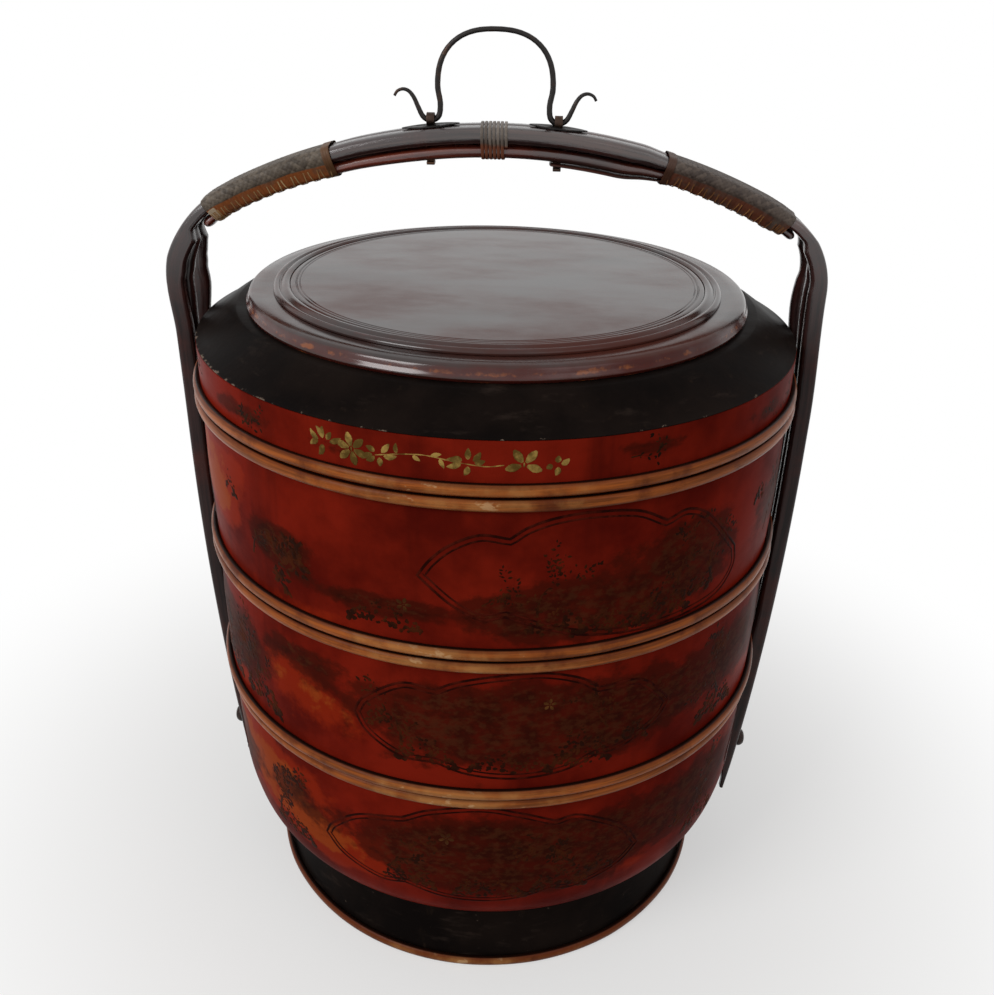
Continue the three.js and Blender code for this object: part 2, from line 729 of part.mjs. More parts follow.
// A pointed plate hugging the bar's crown under an eye, with a slot for its shank.
function leafPlate(name, hand) {
  const middle = Math.asin(eyePlace(hand) / ARCH_RADIUS);
  const rings = [];
  for (let i = 0; i <= 10; i += 1) {
    const along = (i / 10) * 2 - 1;
    const angle = middle + (along * LEAF_REACH) / ARCH_RADIUS;
    const out = new THREE.Vector2(Math.sin(angle), Math.cos(angle));
    const station = { x: ARCH_RADIUS * out.x, z: ARCH_CENTRE_HEIGHT + ARCH_RADIUS * out.y, out };
    const half = 0.5 + LEAF_HALF_WIDTH * (1 - Math.abs(along) ** 1.6) ** 0.8;
    const lift = (across) => PLAY - BAR_CROWN * (across / 14) ** 2;
    const under = [-1, -0.35, 0.35, 1].map((share) => [share * half, lift(share * half)]);
    const over = under.map(([across, low]) => [across * 0.96, low + LEAF_THICKNESS]).reverse();
    rings.push(placed(station, [...under, ...over]));
  }
  const slot = new THREE.BoxGeometry(EYE_WIDTH + 2 * PLAY, 2 * (EYE_BORE + EYE_STRAP), 20);
  slot.translate(eyePlace(hand), 0, EYE_HEIGHT);
  return piece(name, cut(skinOver(rings), [slot]), iron);
}

// The bail is one wire: a squarish loop that narrows a little, passes through both eyes and curls out.
function bailShape() {
  const eyeX = EYE_SPACING / 2;
  const rise = BAIL_TOP - 1.5 - BAIL_SHOULDERS;
  const end = [
    [eyeX + 22.2, EYE_HEIGHT + 13],
    [eyeX + 20.4, EYE_HEIGHT + 15.6],
    [eyeX + 17, EYE_HEIGHT + 16.9],
    [eyeX + 13.6, EYE_HEIGHT + 16],
    [eyeX + 10.5, EYE_HEIGHT + 12.6],
    [eyeX + 7.6, EYE_HEIGHT + 6.6],
    [eyeX + 4.9, EYE_HEIGHT + 1.6],
    [eyeX + 2.2, EYE_HEIGHT - 0.2],
    [eyeX - 2.2, EYE_HEIGHT - 0.2],
    [eyeX - 5.1, EYE_HEIGHT + 2.2],
    [BAIL_HALF_WIDTH - 1.6, EYE_HEIGHT + 9],
  ];
  const points = end.map(([x, z]) => new THREE.Vector3(-x, 0, z));
  for (let i = 0; i <= 10; i += 1) {
    const angle = (Math.PI * i) / 10;
    const [cos, sin] = [Math.cos(angle), Math.sin(angle)];
    points.push(new THREE.Vector3(
      -BAIL_HALF_WIDTH * Math.sign(cos) * Math.abs(cos) ** 0.833,
      0,
      BAIL_SHOULDERS + rise * sin ** 0.833,
    ));
  }
  points.push(...[...end].reverse().map(([x, z]) => new THREE.Vector3(x, 0, z)));
  const path = new THREE.CatmullRomCurve3(points, false, "centripetal");
  const steps = 66;
  const rings = [];
  for (let i = 0; i <= steps; i += 1) {
    const share = i / steps;
    const point = path.getPoint(share);
    const along = path.getTangent(share);
    const station = { x: point.x - FITTINGS_SET_LEFT, z: point.z, out: new THREE.Vector2(-along.z, along.x) };
    const fromEnd = Math.min(share, 1 - share);
    const size = 2 * BAIL_WIRE * (0.5 + 0.5 * ease(fromEnd / 0.25)) * (1 - 0.14 * ease((fromEnd - 0.34) / 0.12));
    rings.push(placed(station, roundedBox(size, size, 0, 0, 6, 1)));
  }
  return skinOver(rings);
}

function handle() {
  const slots = shankSlots();
  return [
    piece("front_stave", cut(staveShape(-1), slots), bamboo),
    piece("rear_stave", cut(staveShape(1), slots), bamboo),
    piece("left_core_stave", cut(coreShape("left"), [pegShaft(PEG_SHANK + PLAY, -230, -170)]), bamboo),
    piece("right_core_stave", cut(coreShape("right"), [pegShaft(PEG_SHANK + PLAY, 170, 230)]), bamboo),
    piece("grip_rod", cut(gripRodShape(), slots), gripWood),
    piece("under_splint", cut(splintShape(), slots), bamboo),
    piece("left_sleeve", sleeveShape("left"), rattan),
    piece("right_sleeve", sleeveShape("right"), rattan),
    piece("centre_lashing", lashingShape(), rattan),
    eye("left_eye", -1),
    eye("right_eye", 1),
    leafPlate("left_leaf_plate", -1),
    leafPlate("right_leaf_plate", 1),
  ];
}

const basket = new THREE.Group();
basket.name = "wedding_basket";
basket.add(...foot());
basket.add(...bowl());
basket.add(...tier("middle", BOWL_SEAM, BOWL_RADIUS, MIDDLE_SEAM, MIDDLE_RADIUS));
basket.add(...tier("upper", MIDDLE_SEAM, MIDDLE_RADIUS, UPPER_SEAM, UPPER_RADIUS));
basket.add(...lid());
basket.add(peg("left_peg", -1), peg("right_peg", 1));
basket.add(...handle());
basket.add(piece("bail", bailShape(), iron));

export default basket;
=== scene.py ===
"""Wedding basket: lacquered and painted tiers with cane hoops, under a bamboo handle with an iron bail."""

import math
import random

import bmesh
import bpy
from mathutils import Matrix, Vector


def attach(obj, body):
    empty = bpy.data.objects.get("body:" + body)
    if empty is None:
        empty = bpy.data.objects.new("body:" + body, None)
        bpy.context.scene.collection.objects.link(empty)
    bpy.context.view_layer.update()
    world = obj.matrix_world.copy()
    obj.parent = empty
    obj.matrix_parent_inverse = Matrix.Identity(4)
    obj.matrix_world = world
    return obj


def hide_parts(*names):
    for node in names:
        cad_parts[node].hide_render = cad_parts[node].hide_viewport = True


bl_info = {
    "name": "Wedding basket",
    "version": (1, 0, 0),
    "blender": (4, 5, 0),
    "location": "View3D > Sidebar > Basket",
    "description": "Finishes and details of a lacquered wedding basket with a bamboo handle",
    "category": "Object",
}

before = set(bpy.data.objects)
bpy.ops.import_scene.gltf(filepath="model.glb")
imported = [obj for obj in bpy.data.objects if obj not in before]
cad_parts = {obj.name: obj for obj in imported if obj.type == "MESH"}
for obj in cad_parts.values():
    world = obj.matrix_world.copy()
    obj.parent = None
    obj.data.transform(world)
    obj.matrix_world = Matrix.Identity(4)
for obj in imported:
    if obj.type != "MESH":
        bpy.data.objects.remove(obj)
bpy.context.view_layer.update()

# One millimetre in metres.
MM = 0.001

# Millimetres along the walls in one degree round them.
DEGREE = 3.41

# Gap between pieces that touch, in millimetres, as is every size below.
PLAY = 0.35

# The stack: the seams between the tiers, and the outer radius of the wall at each.
BOWL_SEAM = 185.3
MIDDLE_SEAM = 289.6
UPPER_SEAM = 394.3
SKIRT_TOP = 425.8
BOWL_RADIUS = 193.6
MIDDLE_RADIUS = 195.2
UPPER_RADIUS = 196
WALL = 6
WALL_SWELL = 0.8
HOOP_HEIGHT = 7.6
HOOP_DEPTH = 4.2
HOOP_SET_BACK = 0.5

# Foot, bowl and lid. The bowl's wall stands upright from a height on, swollen a little, and turns in to the
# foot below another. Points further out than OUTSIDE_FROM are on a wall's outer face, and nothing is painted
# on the bowl below PAINTED_FROM.
FOOT_TOP_RADIUS = 155.6
FOOT_BASE_RADIUS = 165.4
FOOT_HOOP_RADIUS = 169.8
FOOT_HOOP_HEIGHT = 7.6
BOWL_FLOOR = 52.4
BOWL_LIP_RADIUS = 150
BOWL_BELLY_HEIGHT = 112
BOWL_UPRIGHT_FROM = 150
BOWL_SWELL = 0.6
BOWL_TURNS_IN = 90
OUTSIDE_FROM = 188
PAINTED_FROM = 82
SHOULDER_RADIUS = 195.8
SHOULDER_TOP = 443.4
RING_RADIUS = 163
RING_TOP = 452.8
RING_LEDGE = 449.4
RING_BORE = 124
MOULDING_RADIUS = 145.4
PANEL_RADIUS = 134.6
PANEL_TOP = 456

# Handle: its outline is an arch with a tighter bend at each shoulder, and uprights whose tails lean in.
# A mark from 0 to 1 climbs the upright, from 1 to 2 rounds the shoulder, and from 2 to 3 follows the arch.
# A pair is where a smooth change starts and how much further on it is over, in marks or in millimetres, but
# STAVES_BOW holds how far the front and the rear stave bow out. SHOULDER_FLAT is where a shoulder is
# flattened most, how far to either side it is flattened, and by how many millimetres.
ARCH_RADIUS = 395
ARCH_CENTRE_HEIGHT = 156.4
SHOULDER_BEND = {"left": 66, "right": 60}
SHOULDER_REACH = {"left": 218.2, "right": 212.4}
SHOULDER_LEANS = {"left": (412, 35), "right": (365, 85)}
SHOULDER_FLAT = {"left": (1.66, 0.42, 1.7), "right": (1.79, 0.27, 1.2)}
SLEEVE_SINK = {"left": 0.3, "right": 1.2}
SINK_STARTS = (1.75, 0.2)
SINK_ENDS = (2.43, 0.09)
UPRIGHT_REACH = 215.8
TAIL_LEAN = 17
TAIL_LEAN_FROM = 340
TAIL_LEAN_OVER = 290
TAIL_END = 34
STAVE_WIDTH = 9
STAVE_DEPTH = 11.9
SHOULDER_DEPTH = {"left": 13.4, "right": 10.8}
NOTCH_DEPTH = {"left": 8, "right": 7.5}
NOTCH_FADES = {"left": (1.6, 1.2), "right": (2.38, 0.2)}
NOTCH_ENDS = 1.6
BAR_STAVE_WIDTH = 13.4
BAR_STAVE_DEPTH = 10.4
BAR_STARTS = (1.1, 0.9)
BAR_CROWN = 0.8
BAR_CROWN_HALF = 14
CORE_WIDTH = 9
CORE_ENDS = 2.28
TONGUE_PARED = {"left": 0, "right": 0.42}
STAVES_BOW = {"left": (1, 19), "right": (2, 20)}
STAVES_FAN = {"left": 5, "right": 1}
FAN_RISES = (412, 30)
FAN_CLOSES = (466, 28)
BOW_HEIGHT = 426
BOW_SPREAD = 68
ROD_ENDS = 1.69
ROD_WIDTH = 19
ROD_DEPTH = 9
ROD_TAPER = {"left": 2.3, "right": 3.2}
ROD_TAPERS = {"left": (2.15, 0.6), "right": (2.38, 0.22)}
SPLINT_WIDTH = 14
SPLINT_DEPTH = 2.2
SPLINT_TAPER = 1.1
SPLINT_ENDS = 2.826
SLEEVE_ENDS = 1.87
SLEEVE_STARTS = 2.43
SLEEVE_GAP = 0.35
SLEEVE_WALL = 0.75
WEAVE_STARTS = (8.2, 1.2)
WINDING_PITCH = 2.6
STRAND_SIDES = 6
LASHING_TURNS = 6.5
LASHING_PITCH = 2.46
LASHING_STRIP = 1.9
LASHING_THICKNESS = 0.7
LASHING_GAP = 0.38
FITTINGS_SET_LEFT = 4

# Pegs, eyes, leaf plates and bail. A peg is measured along its axis from the middle of the basket, and an
# eye's clinch is the height, below the eye, at which its legs are bent out under the bar. The bail's arch is
# half an ellipse at a roundness of 1, and squarer below that.
SIDES = (("left", -1), ("right", 1))
PEG_HEIGHT = 80
PEG_START = 168
PEG_COLLAR = 5.2
PEG_REACH = 209.7
PEG_HEAD = 7
PEG_HEAD_THICKNESS = 6.3
PEG_SHANK = 3.1
EYE_SPACING = 79
EYE_HEIGHT = 553.2
EYE_BORE = 2.7
EYE_STRAP = 1.2
EYE_WIDTH = 5
EYE_SHANK = 2.7
EYE_CLINCH = {"left": -24.7, "right": -26.6}
LEAF_REACH = 18
LEAF_HALF_WIDTH = 7.6
LEAF_THICKNESS = 0.7
BAIL_WIRE = 1.75
BAIL_HALF_WIDTH = 35.1
BAIL_SHOULDERS = 572.4
BAIL_TOP = 606.4
BAIL_ROUNDNESS = 0.833

# The photograph's camera, fitted to the hoops: its place in metres, and its turns in degrees.
CAMERA_PLACE = (0.0286, -0.6752, 0.6442)
CAMERA_PITCH = 27.56
CAMERA_YAW = -2.18
CAMERA_ROLL = 1.34
CAMERA_LENS = 37.66
CAMERA_SENSOR = 36
WHITE = (1.0, 1.0, 1.0, 1.0)

# Soft patches on the walls as (angle, height, half width, half height, strength). An angle counts in degrees
# from the front, to the right of it positive. The smoke-brown ground lies under the painting, and its two
# tall patches at either side are painted shade, where the handle's uprights shade the walls' edges. The
# rubbed patches are where hands and neighbours have worn the varnish through.
SMOKY_GROUND_AND_SHADE = [
    # The first two patches are painted shade of the handle's uprights, darkening the walls' edges top to
    # bottom.
    (-90, 225, 18, 300, 1.4), (92, 225, 17, 300, 0.8),
    (24, 322, 24, 24, 0.9), (10, 318, 12, 14, 0.6), (40, 345, 10, 24, 0.6), (30, 362, 12, 14, 0.3),
    (-37, 336, 10, 18, 0.9), (-17, 318, 10, 8, 0.9), (70, 345, 14, 24, 0.6), (98, 330, 20, 24, 0.6),
    (6, 240, 30, 34, 1.1), (30, 240, 16, 24, 0.6), (-34, 262, 9, 12, 0.6), (-56, 240, 13, 28, 0.9),
    (58, 244, 14, 26, 0.8), (-104, 240, 28, 30, 0.95), (102, 240, 28, 30, 0.95),
    (2, 132, 28, 36, 1.1), (24, 128, 14, 26, 0.6), (-40, 140, 9, 24, 0.55), (48, 140, 16, 30, 0.8),
    (-64, 130, 12, 24, 0.6), (98, 132, 28, 34, 0.95), (-96, 132, 28, 34, 0.95),
    (-21, 412, 9, 8, 0.5), (-46, 412, 10, 8, 0.7), (28, 416, 12, 7, 0.6), (56, 412, 10, 8, 0.5),
    (182, 324, 28, 26, 0.9), (180, 240, 34, 34, 1.1), (180, 132, 32, 36, 1.1),
    (128, 340, 14, 20, 0.7), (-96, 324, 26, 24, 0.85),
]
RUBBED = [
    (-61, 345, 14, 24, 1.0), (-30, 300, 40, 7, 0.35), (-64, 372, 20, 10, 0.5), (-10, 350, 22, 26, 0.2),
    (-38, 240, 13, 24, 0.55), (-60, 205, 16, 10, 0.5), (-22, 225, 12, 22, 0.45), (48, 262, 12, 12, 0.3),
    (-48, 140, 18, 34, 0.95), (-28, 112, 14, 22, 0.7), (-75, 150, 16, 20, 0.7), (30, 100, 14, 14, 0.35),
    (62, 160, 14, 14, 0.5), (76, 380, 14, 12, 0.3), (64, 215, 12, 10, 0.4),
    (-12, 410, 26, 12, 0.2), (10, 405, 20, 8, 0.25), (-70, 410, 20, 10, 0.35),
    (140, 360, 22, 16, 0.5), (-140, 250, 20, 20, 0.6), (165, 160, 26, 20, 0.6), (-150, 150, 18, 20, 0.7),
]

# Raised ogee frames as smooth stretches between their cusps, each a list of (angle, height). The second line
# of each frame lies so many millimetres inside the first.
FRAME_INSET = 3.4
UPPER_FRAME = [
    [(-9.5, 343), (-7.3, 354), (-4.1, 364), (0.5, 371), (5.2, 369)],
    [(5.2, 369), (8.2, 376), (12.8, 381), (18.8, 382.4), (26.3, 379), (32, 369)],
    [(32, 369), (36.5, 372), (42, 362), (50.7, 331)],
    [(50.7, 331), (51.5, 316), (47.7, 303), (39.6, 299), (28.6, 299), (18.3, 303), (11.4, 310),
     (4.8, 319)],
    [(4.8, 319), (0.7, 317), (-4.1, 326), (-9.5, 343)],
]
MIDDLE_FRAME = [
    [(-22, 238), (-19.7, 251), (-12.9, 267), (-6.8, 266)],
    [(-6.8, 266), (-2.5, 273), (4.2, 278), (11.8, 279), (18, 273), (21.9, 264)],
    [(21.9, 264), (29.9, 262), (34.8, 247), (37, 238)],
    [(37, 238), (34.8, 227), (28, 214), (21.9, 212)],
    [(21.9, 212), (16, 204), (7.5, 201), (-1, 204), (-6.8, 211)],
    [(-6.8, 211), (-13.5, 212), (-19.5, 224), (-22, 238)],
]
BOWL_FRAME = [
    [(-31, 121), (-29, 133), (-22.7, 151), (-13.5, 160)],
    [(-13.5, 160), (-8, 170), (1.2, 176), (8.7, 171), (15.5, 162)],
    [(15.5, 162), (20.4, 163), (29.5, 144), (34, 121)],
    [(34, 121), (29, 106), (20, 97), (15.5, 100)],
    [(15.5, 100), (8, 92), (1.2, 90), (-6, 92), (-13.5, 100)],
    [(-13.5, 100), (-19, 97), (-27, 107), (-31, 121)],
]


def linear(hex_colour):
    """Linear colour of an sRGB hex value such as 7a1f14."""
    values = [int(hex_colour[i:i + 2], 16) / 255 for i in (0, 2, 4)]
    return [v / 12.92 if v <= 0.04045 else ((v + 0.055) / 1.055) ** 2.4 for v in values] + [1.0]


def ease(value):
    """A smooth step from 0 to 1."""
    t = min(1, max(0, value))
    return t * t * (3 - 2 * t)


def rising(value, start, over):
    """A smooth step that begins at a start and is over so much further on."""
    return ease((value - start) / over)


def bell(away, spread):
    """A smooth bump: 1 in its middle, about a third of that at its spread."""
    return math.exp(-(away / spread) ** 2)


def circle(count, start=0.0):
    """Cosine and sine of evenly spaced turns."""
    turns = [(k + start) / count * 2 * math.pi for k in range(count)]
    return [(math.cos(turn), math.sin(turn)) for turn in turns]


def curved(points, steps):
    """A smooth curve through points, with so many steps from each to the next."""
    points = [Vector(p) for p in points]
    ends = [2 * points[0] - points[1], *points, 2 * points[-1] - points[-2]]
    line = []
    for i in range(len(points) - 1):
        before, here, there, after = ends[i:i + 4]
        for k in range(steps):
            t = k / steps
            square = (2 * before - 5 * here + 4 * there - after) * t * t
            cube = (3 * here - before - 3 * there + after) * t ** 3
            line.append(0.5 * (2 * here + (there - before) * t + square + cube))
    return [*line, points[-1]]


def spaced(points, step):
    """A line of straight stretches, with points put in about every step."""
    line = []
    for here, there in zip(points, points[1:]):
        here, there = Vector(here), Vector(there)
        count = max(1, round((there - here).length / step))
        line += [here.lerp(there, k / count) for k in range(count)]
    return [*line, Vector(points[-1])]


def blot(patches, angle, height):
    """Strength of soft patches at an angle and height."""
    total = 0
    for at, level, wide, tall, strength in patches:
        away = (angle - at + 180) % 360 - 180
        total += strength * bell(away, wide) * bell(height - level, tall)
    return total


# Materials

def add_node(owner, kind, settings=None, links=None):
    """Adds a node to a material or world, sets its values, and links its inputs to other nodes' outputs."""
    tree = owner.node_tree
    node = tree.nodes.new(kind)
    for key, value in (settings or {}).items():
        if isinstance(key, str) and hasattr(node, key):
            setattr(node, key, value)
        else:
            node.inputs[key].default_value = value
    for key, output in (links or {}).items():
        tree.links.new(output, node.inputs[key])
    return node


def new_material(name):
    """An empty node material, its principled shader, and its place on the object."""
    material = bpy.data.materials.new(name)
    material.use_nodes = True
    material.node_tree.nodes.clear()
    shader = add_node(material, "ShaderNodeBsdfPrincipled")
    add_node(material, "ShaderNodeOutputMaterial", links={"Surface": shader.outputs["BSDF"]})
    return material, shader, add_node(material, "ShaderNodeTexCoord").outputs["Object"]


def blotches(material, place, size, low, high, most=1.0, stretch=(1, 1, 1), detail=5.0, gathered=None):
    """Blotches about so many millimetres across, longer where stretch is under 1, fading in from low to high.

    An attribute's level is added to them, so that they are gathered where it is strong."""
    spread = add_node(material, "ShaderNodeMapping", {"Scale": stretch}, {"Vector": place}).outputs["Vector"]
    level = add_node(material, "ShaderNodeTexNoise",
                     {"Scale": 1000 / size / 2, "Detail": detail, "Roughness": 0.62},
                     {"Vector": spread}).outputs["Fac"]
    if gathered:
        share = add_node(material, "ShaderNodeAttribute", {"attribute_name": gathered}).outputs["Fac"]
        level = add_node(material, "ShaderNodeMath", {"operation": "ADD"}, {0: level, 1: share}).outputs[0]
    return add_node(material, "ShaderNodeMapRange",
                    {"interpolation_type": "SMOOTHSTEP", "From Min": low, "From Max": high, "To Max": most},
                    {"Value": level}).outputs["Result"]


def coats(material, ground, *layers):
    """Colours laid over a ground, each as (how far it shows, hex colour)."""
    colour = ground
    for share, hex_colour in layers:
        mix = add_node(material, "ShaderNodeMix", {"data_type": "RGBA", 7: linear(hex_colour)}, {0: share})
        if isinstance(colour, bpy.types.NodeSocket):
            material.node_tree.links.new(colour, mix.inputs[6])
        else:
            mix.inputs[6].default_value = linear(colour) if isinstance(colour, str) else [*colour[:3], 1.0]
        colour = mix.outputs[2]
    return colour


def finished(material, shader, colour, rough, relief, depth, shine=0.5):
    """Links a colour, a roughness as (how far it shows, least, most), and a relief so many millimetres deep.

    The shine is how strongly the surface throws back what is round it, 0.5 for a clear varnish."""
    links = material.node_tree.links
    links.new(colour, shader.inputs["Base Color"])
    share, least, most = rough
    dull = add_node(material, "ShaderNodeMapRange", {"To Min": least, "To Max": most}, {"Value": share})
    links.new(dull.outputs["Result"], shader.inputs["Roughness"])
    bump = add_node(material, "ShaderNodeBump", {"Distance": depth * MM}, {"Height": relief})
    links.new(bump.outputs["Normal"], shader.inputs["Normal"])
    shader.inputs["Specular IOR Level"].default_value = shine
    return material


def cinnabar_lacquer(glaze):
    """Red lacquer brushed round the wall, under a varnish that has darkened in clouds and run down in places.

    It is rubbed through to orange in patches, and carries the smoke-brown ground of the old painting, whose
    browns also lay painted shade on the wall's edges behind the handle. Its old varnish throws back next to
    nothing of the room, so that the red stays deep towards the wall's edges."""
    material, shader, place = new_material("cinnabar lacquer")
    clouds = blotches(material, place, 44, 0.34, 0.68)
    colour = coats(
        material, glaze,
        (clouds, "521009"),
        (blotches(material, place, 13, 0.5, 0.72, 0.4, (1, 1, 0.07)), "3a0d08"),
        (blotches(material, place, 20, 0.8, 0.98, 0.8, gathered="rubbed"), "8c2610"),
        (blotches(material, place, 9, 1.1, 1.26, 0.7, gathered="rubbed"), "96431a"),
        # These three browns are the painting's ground, and beside the handle they are its painted shade.
        (blotches(material, place, 11, 0.84, 1.04, 0.72, (1, 1, 1.3), 9, "smoky_ground_and_shade"), "37120a"),
        (blotches(material, place, 7, 1.04, 1.3, 0.6, (1, 1, 1.4), gathered="smoky_ground_and_shade"), "210f09"),
        (blotches(material, place, 3, 1.12, 1.3, 0.45, (1, 1, 1.6), gathered="smoky_ground_and_shade"), "4d2a18"),
    )
    brushed = blotches(material, place, 3, 0.3, 0.7, 1.0, (0.12, 0.12, 1))
    return finished(material, shader, colour, (clouds, 0.3, 0.42), brushed, 0.05, shine=0.005)


def black_lacquer():
    """Black lacquer dulled by handling, dusty in its brush marks, chipped to the grey ground at its edge."""
    material, shader, place = new_material("black lacquer")
    clouds = blotches(material, place, 32, 0.35, 0.7)
    chips = blotches(material, place, 3, 1.12, 1.2, 0.85, (1, 1, 1.6), gathered="rubbed")
    colour = coats(
        material, "0e0a09",
        (clouds, "1b1411"),
        (blotches(material, place, 2.5, 0.56, 0.8, 0.4, (0.2, 0.2, 1)), "3d322c"),
        (blotches(material, place, 5, 0.62, 0.78, 0.45, (1, 1, 0.3)), "32261e"),
        (chips, "77675a"),
    )
    return finished(material, shader, colour, (clouds, 0.34, 0.48), clouds, 0.2, shine=0.012)


def polished_lacquer():
    """Polished brown lacquer, wiped in long strokes, its edges worn to red-brown, then to the orange ground.

    Where its film is worn dull it shines less, and its red-brown shows."""
    material, shader, place = new_material("polished brown lacquer")
    clouds = blotches(material, place, 40, 0.3, 0.7)
    wiped = blotches(material, place, 30, 0.35, 0.72, 1.0, (0.4, 1, 1), 2.0)
    worn = blotches(material, place, 34, 0.36, 0.68, 1.0, (0.5, 1, 1), 8)
    colour = coats(
        material, "1a0f0d",
        (clouds, "2c1a17"),
        (worn, "4c261e"),
        (blotches(material, place, 11, 0.8, 1.15, 0.8, gathered="rubbed"), "4c1913"),
        (blotches(material, place, 6, 1.26, 1.4, 0.9, gathered="rubbed"), "8a4a22"),
    )
    shine = add_node(material, "ShaderNodeMapRange", {"To Min": 0.62, "To Max": 0.14}, {"Value": worn})
    material.node_tree.links.new(shine.outputs["Result"], shader.inputs["Specular IOR Level"])
    return finished(material, shader, colour, (wiped, 0.12, 0.26), wiped, 0.12)


def varnished_cane(tone):
    """Split cane bent round a rim: grain along it, golden where rubbed, browned in patches, with painted
    shade in its hollows.

    The grain is drawn about three times as coarse as it is, so that it shows. Painted shade darkens its
    flanks and the stretch behind the handle, and is black at the seam between two hoops."""
    material, shader, place = new_material("varnished cane")
    grain = blotches(material, place, 1.1, 0.35, 0.68, 1.0, (0.04, 0.04, 1))
    browned = blotches(material, place, 17, 0.5, 0.7, 0.8)
    shade_and_dark_tone = add_node(material, "ShaderNodeAttribute", {"attribute_name": "shade_and_dark_tone"}).outputs["Fac"]
    seam = add_node(material, "ShaderNodeMapRange", {"From Min": 0.62, "From Max": 0.95}, {"Value": shade_and_dark_tone})
    colour = coats(
        material, tone,
        (grain, "6f3a17"),
        (browned, "4c1f0e"),
        (blotches(material, place, 12, 0.86, 1.2, 0.6, gathered="rubbed"), "b9824b"),
        (blotches(material, place, 3, 1.12, 1.2, 0.55, (0.5, 0.5, 1), gathered="rubbed"), "cfa77a"),
        (shade_and_dark_tone, "531f0d"),
        (seam.outputs["Result"], "1a0b06"),
    )
    return finished(material, shader, colour, (browned, 0.32, 0.46), grain, 0.06, shine=0.08)


def smoked_bamboo(name, dark, bright, patch, least, most):
    """Smoked and oiled bamboo: fibres along the stave, near-black painted shade where it faces its
    neighbours, brown where rubbed, and long painted highlight streaks.

    The fibres are drawn about four times as coarse as they are, so that they show. Hands have polished the
    stave where the attribute handled is strong, and elsewhere its shine is dull."""
    material, shader, place = new_material(name)
    along = add_node(material, "ShaderNodeUVMap", {"uv_map": "fibre"}).outputs["UV"]
    fibres = blotches(material, along, 1.2, 0.34, 0.7, 1.0, (1, 0.03, 1))
    patches = blotches(material, place, 21, 0.46, 0.7, 0.7)
    shade_and_dark_tone = add_node(material, "ShaderNodeAttribute", {"attribute_name": "shade_and_dark_tone"}).outputs["Fac"]
    # Long pale streaks along the stave are a painted highlight, standing in for its gloss.
    highlight_streaks = blotches(material, along, 4, 0.52, 0.66, 0.5, (1, 0.02, 1))
    colour = coats(material, dark, (fibres, bright), (patches, patch), (highlight_streaks, "5e4a43"), (shade_and_dark_tone, "0b0605"))
    handled = add_node(material, "ShaderNodeAttribute", {"attribute_name": "handled"}).outputs["Fac"]
    shine = add_node(material, "ShaderNodeMapRange", {"To Min": 0.16, "To Max": 1.0}, {"Value": handled})
    material.node_tree.links.new(shine.outputs["Result"], shader.inputs["Specular IOR Level"])
    return finished(material, shader, colour, (patches, least, most), fibres, 0.1)


def split_rattan(name, dark, bright, pale):
    """Split rattan: each strand of its own tone, honey where it is rubbed, with near-black painted shade in
    the gaps between.
    """
    material, shader, place = new_material(name)
    strand = add_node(material, "ShaderNodeAttribute", {"attribute_name": "strand"}).outputs["Fac"]
    shade_and_dark_tone = add_node(material, "ShaderNodeAttribute", {"attribute_name": "shade_and_dark_tone"}).outputs["Fac"]
    grain = blotches(material, place, 2, 0.3, 0.7, 0.5)
    colour = coats(
        material, dark,
        (strand, bright),
        (grain, dark),
        (blotches(material, place, 8, 0.62, 0.95, 0.9, gathered="rubbed"), pale),
        (blotches(material, place, 9, 1.35, 1.5, 0.9, gathered="rubbed"), "c9b79c"),
        (shade_and_dark_tone, "160c08"),
    )
    return finished(material, shader, colour, (grain, 0.5, 0.66), grain, 0.1, shine=0.35)


def wrought_iron(name, dark, rust, low):
    """Wrought iron: hammered, grey-black with scale, freckled with rust."""
    material, shader, place = new_material(name)
    hammered = blotches(material, place, 4, 0.3, 0.7)
    colour = coats(material, dark, (blotches(material, place, 7, low, low + 0.16, 0.85), rust))
    shader.inputs["Metallic"].default_value = 0.8
    return finished(material, shader, colour, (hammered, 0.36, 0.58), hammered, 0.15)


def brush_relief(name, dark, bright, metallic):
    """Lacquer or gilding built up with a brush: uneven, and rubbed thin on its crests."""
    material, shader, place = new_material(name)
    patches = blotches(material, place, 6, 0.4, 0.64)
    colour = coats(material, dark, (patches, bright))
    shader.inputs["Metallic"].default_value = metallic
    return finished(material, shader, colour, (patches, 0.36, 0.52), patches, 0.08, shine=0.008)


def bare_cedar():
    """Planed cedar left bare inside the tiers: straight grain across the board."""
    material, shader, place = new_material("bare cedar")
    grain = blotches(material, place, 5, 0.35, 0.7, 1.0, (0.05, 1, 1))
    colour = coats(material, "6b4a30", (grain, "9c7a56"))
    return finished(material, shader, colour, (grain, 0.6, 0.75), grain, 0.1)


# Making pieces

def dressed(piece, material, body, slot, *replaced):
    """Gives a finished piece its material and body, and hides the CAD nodes that it stands for. Its slot is
    not used.
    """
    piece.data.materials.clear()
    piece.data.materials.append(material)
    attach(piece, body)
    if replaced:
        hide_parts(*replaced)
    return piece


def layered(piece, name, values):
    """A point attribute, with a value for each point."""
    piece.data.attributes.new(name, "FLOAT", "POINT").data.foreach_set("value", values)


def painted(piece, name, level):
    """A point attribute, whose level is worked out from each point in millimetres."""
    layered(piece, name, [level(vertex.co / MM) for vertex in piece.data.vertices])


def angle_of(point):
    """Degrees from the front, to the right of it positive."""
    return math.degrees(math.atan2(point.x, -point.y))


def radius_of(point):
    """Distance from the basket's upright axis."""
    return Vector((point.x, point.y)).length


def chosen(piece):
    """Selects a piece alone and makes it the active one."""
    bpy.ops.object.select_all(action="DESELECT")
    piece.select_set(True)
    bpy.context.view_layer.objects.active = piece


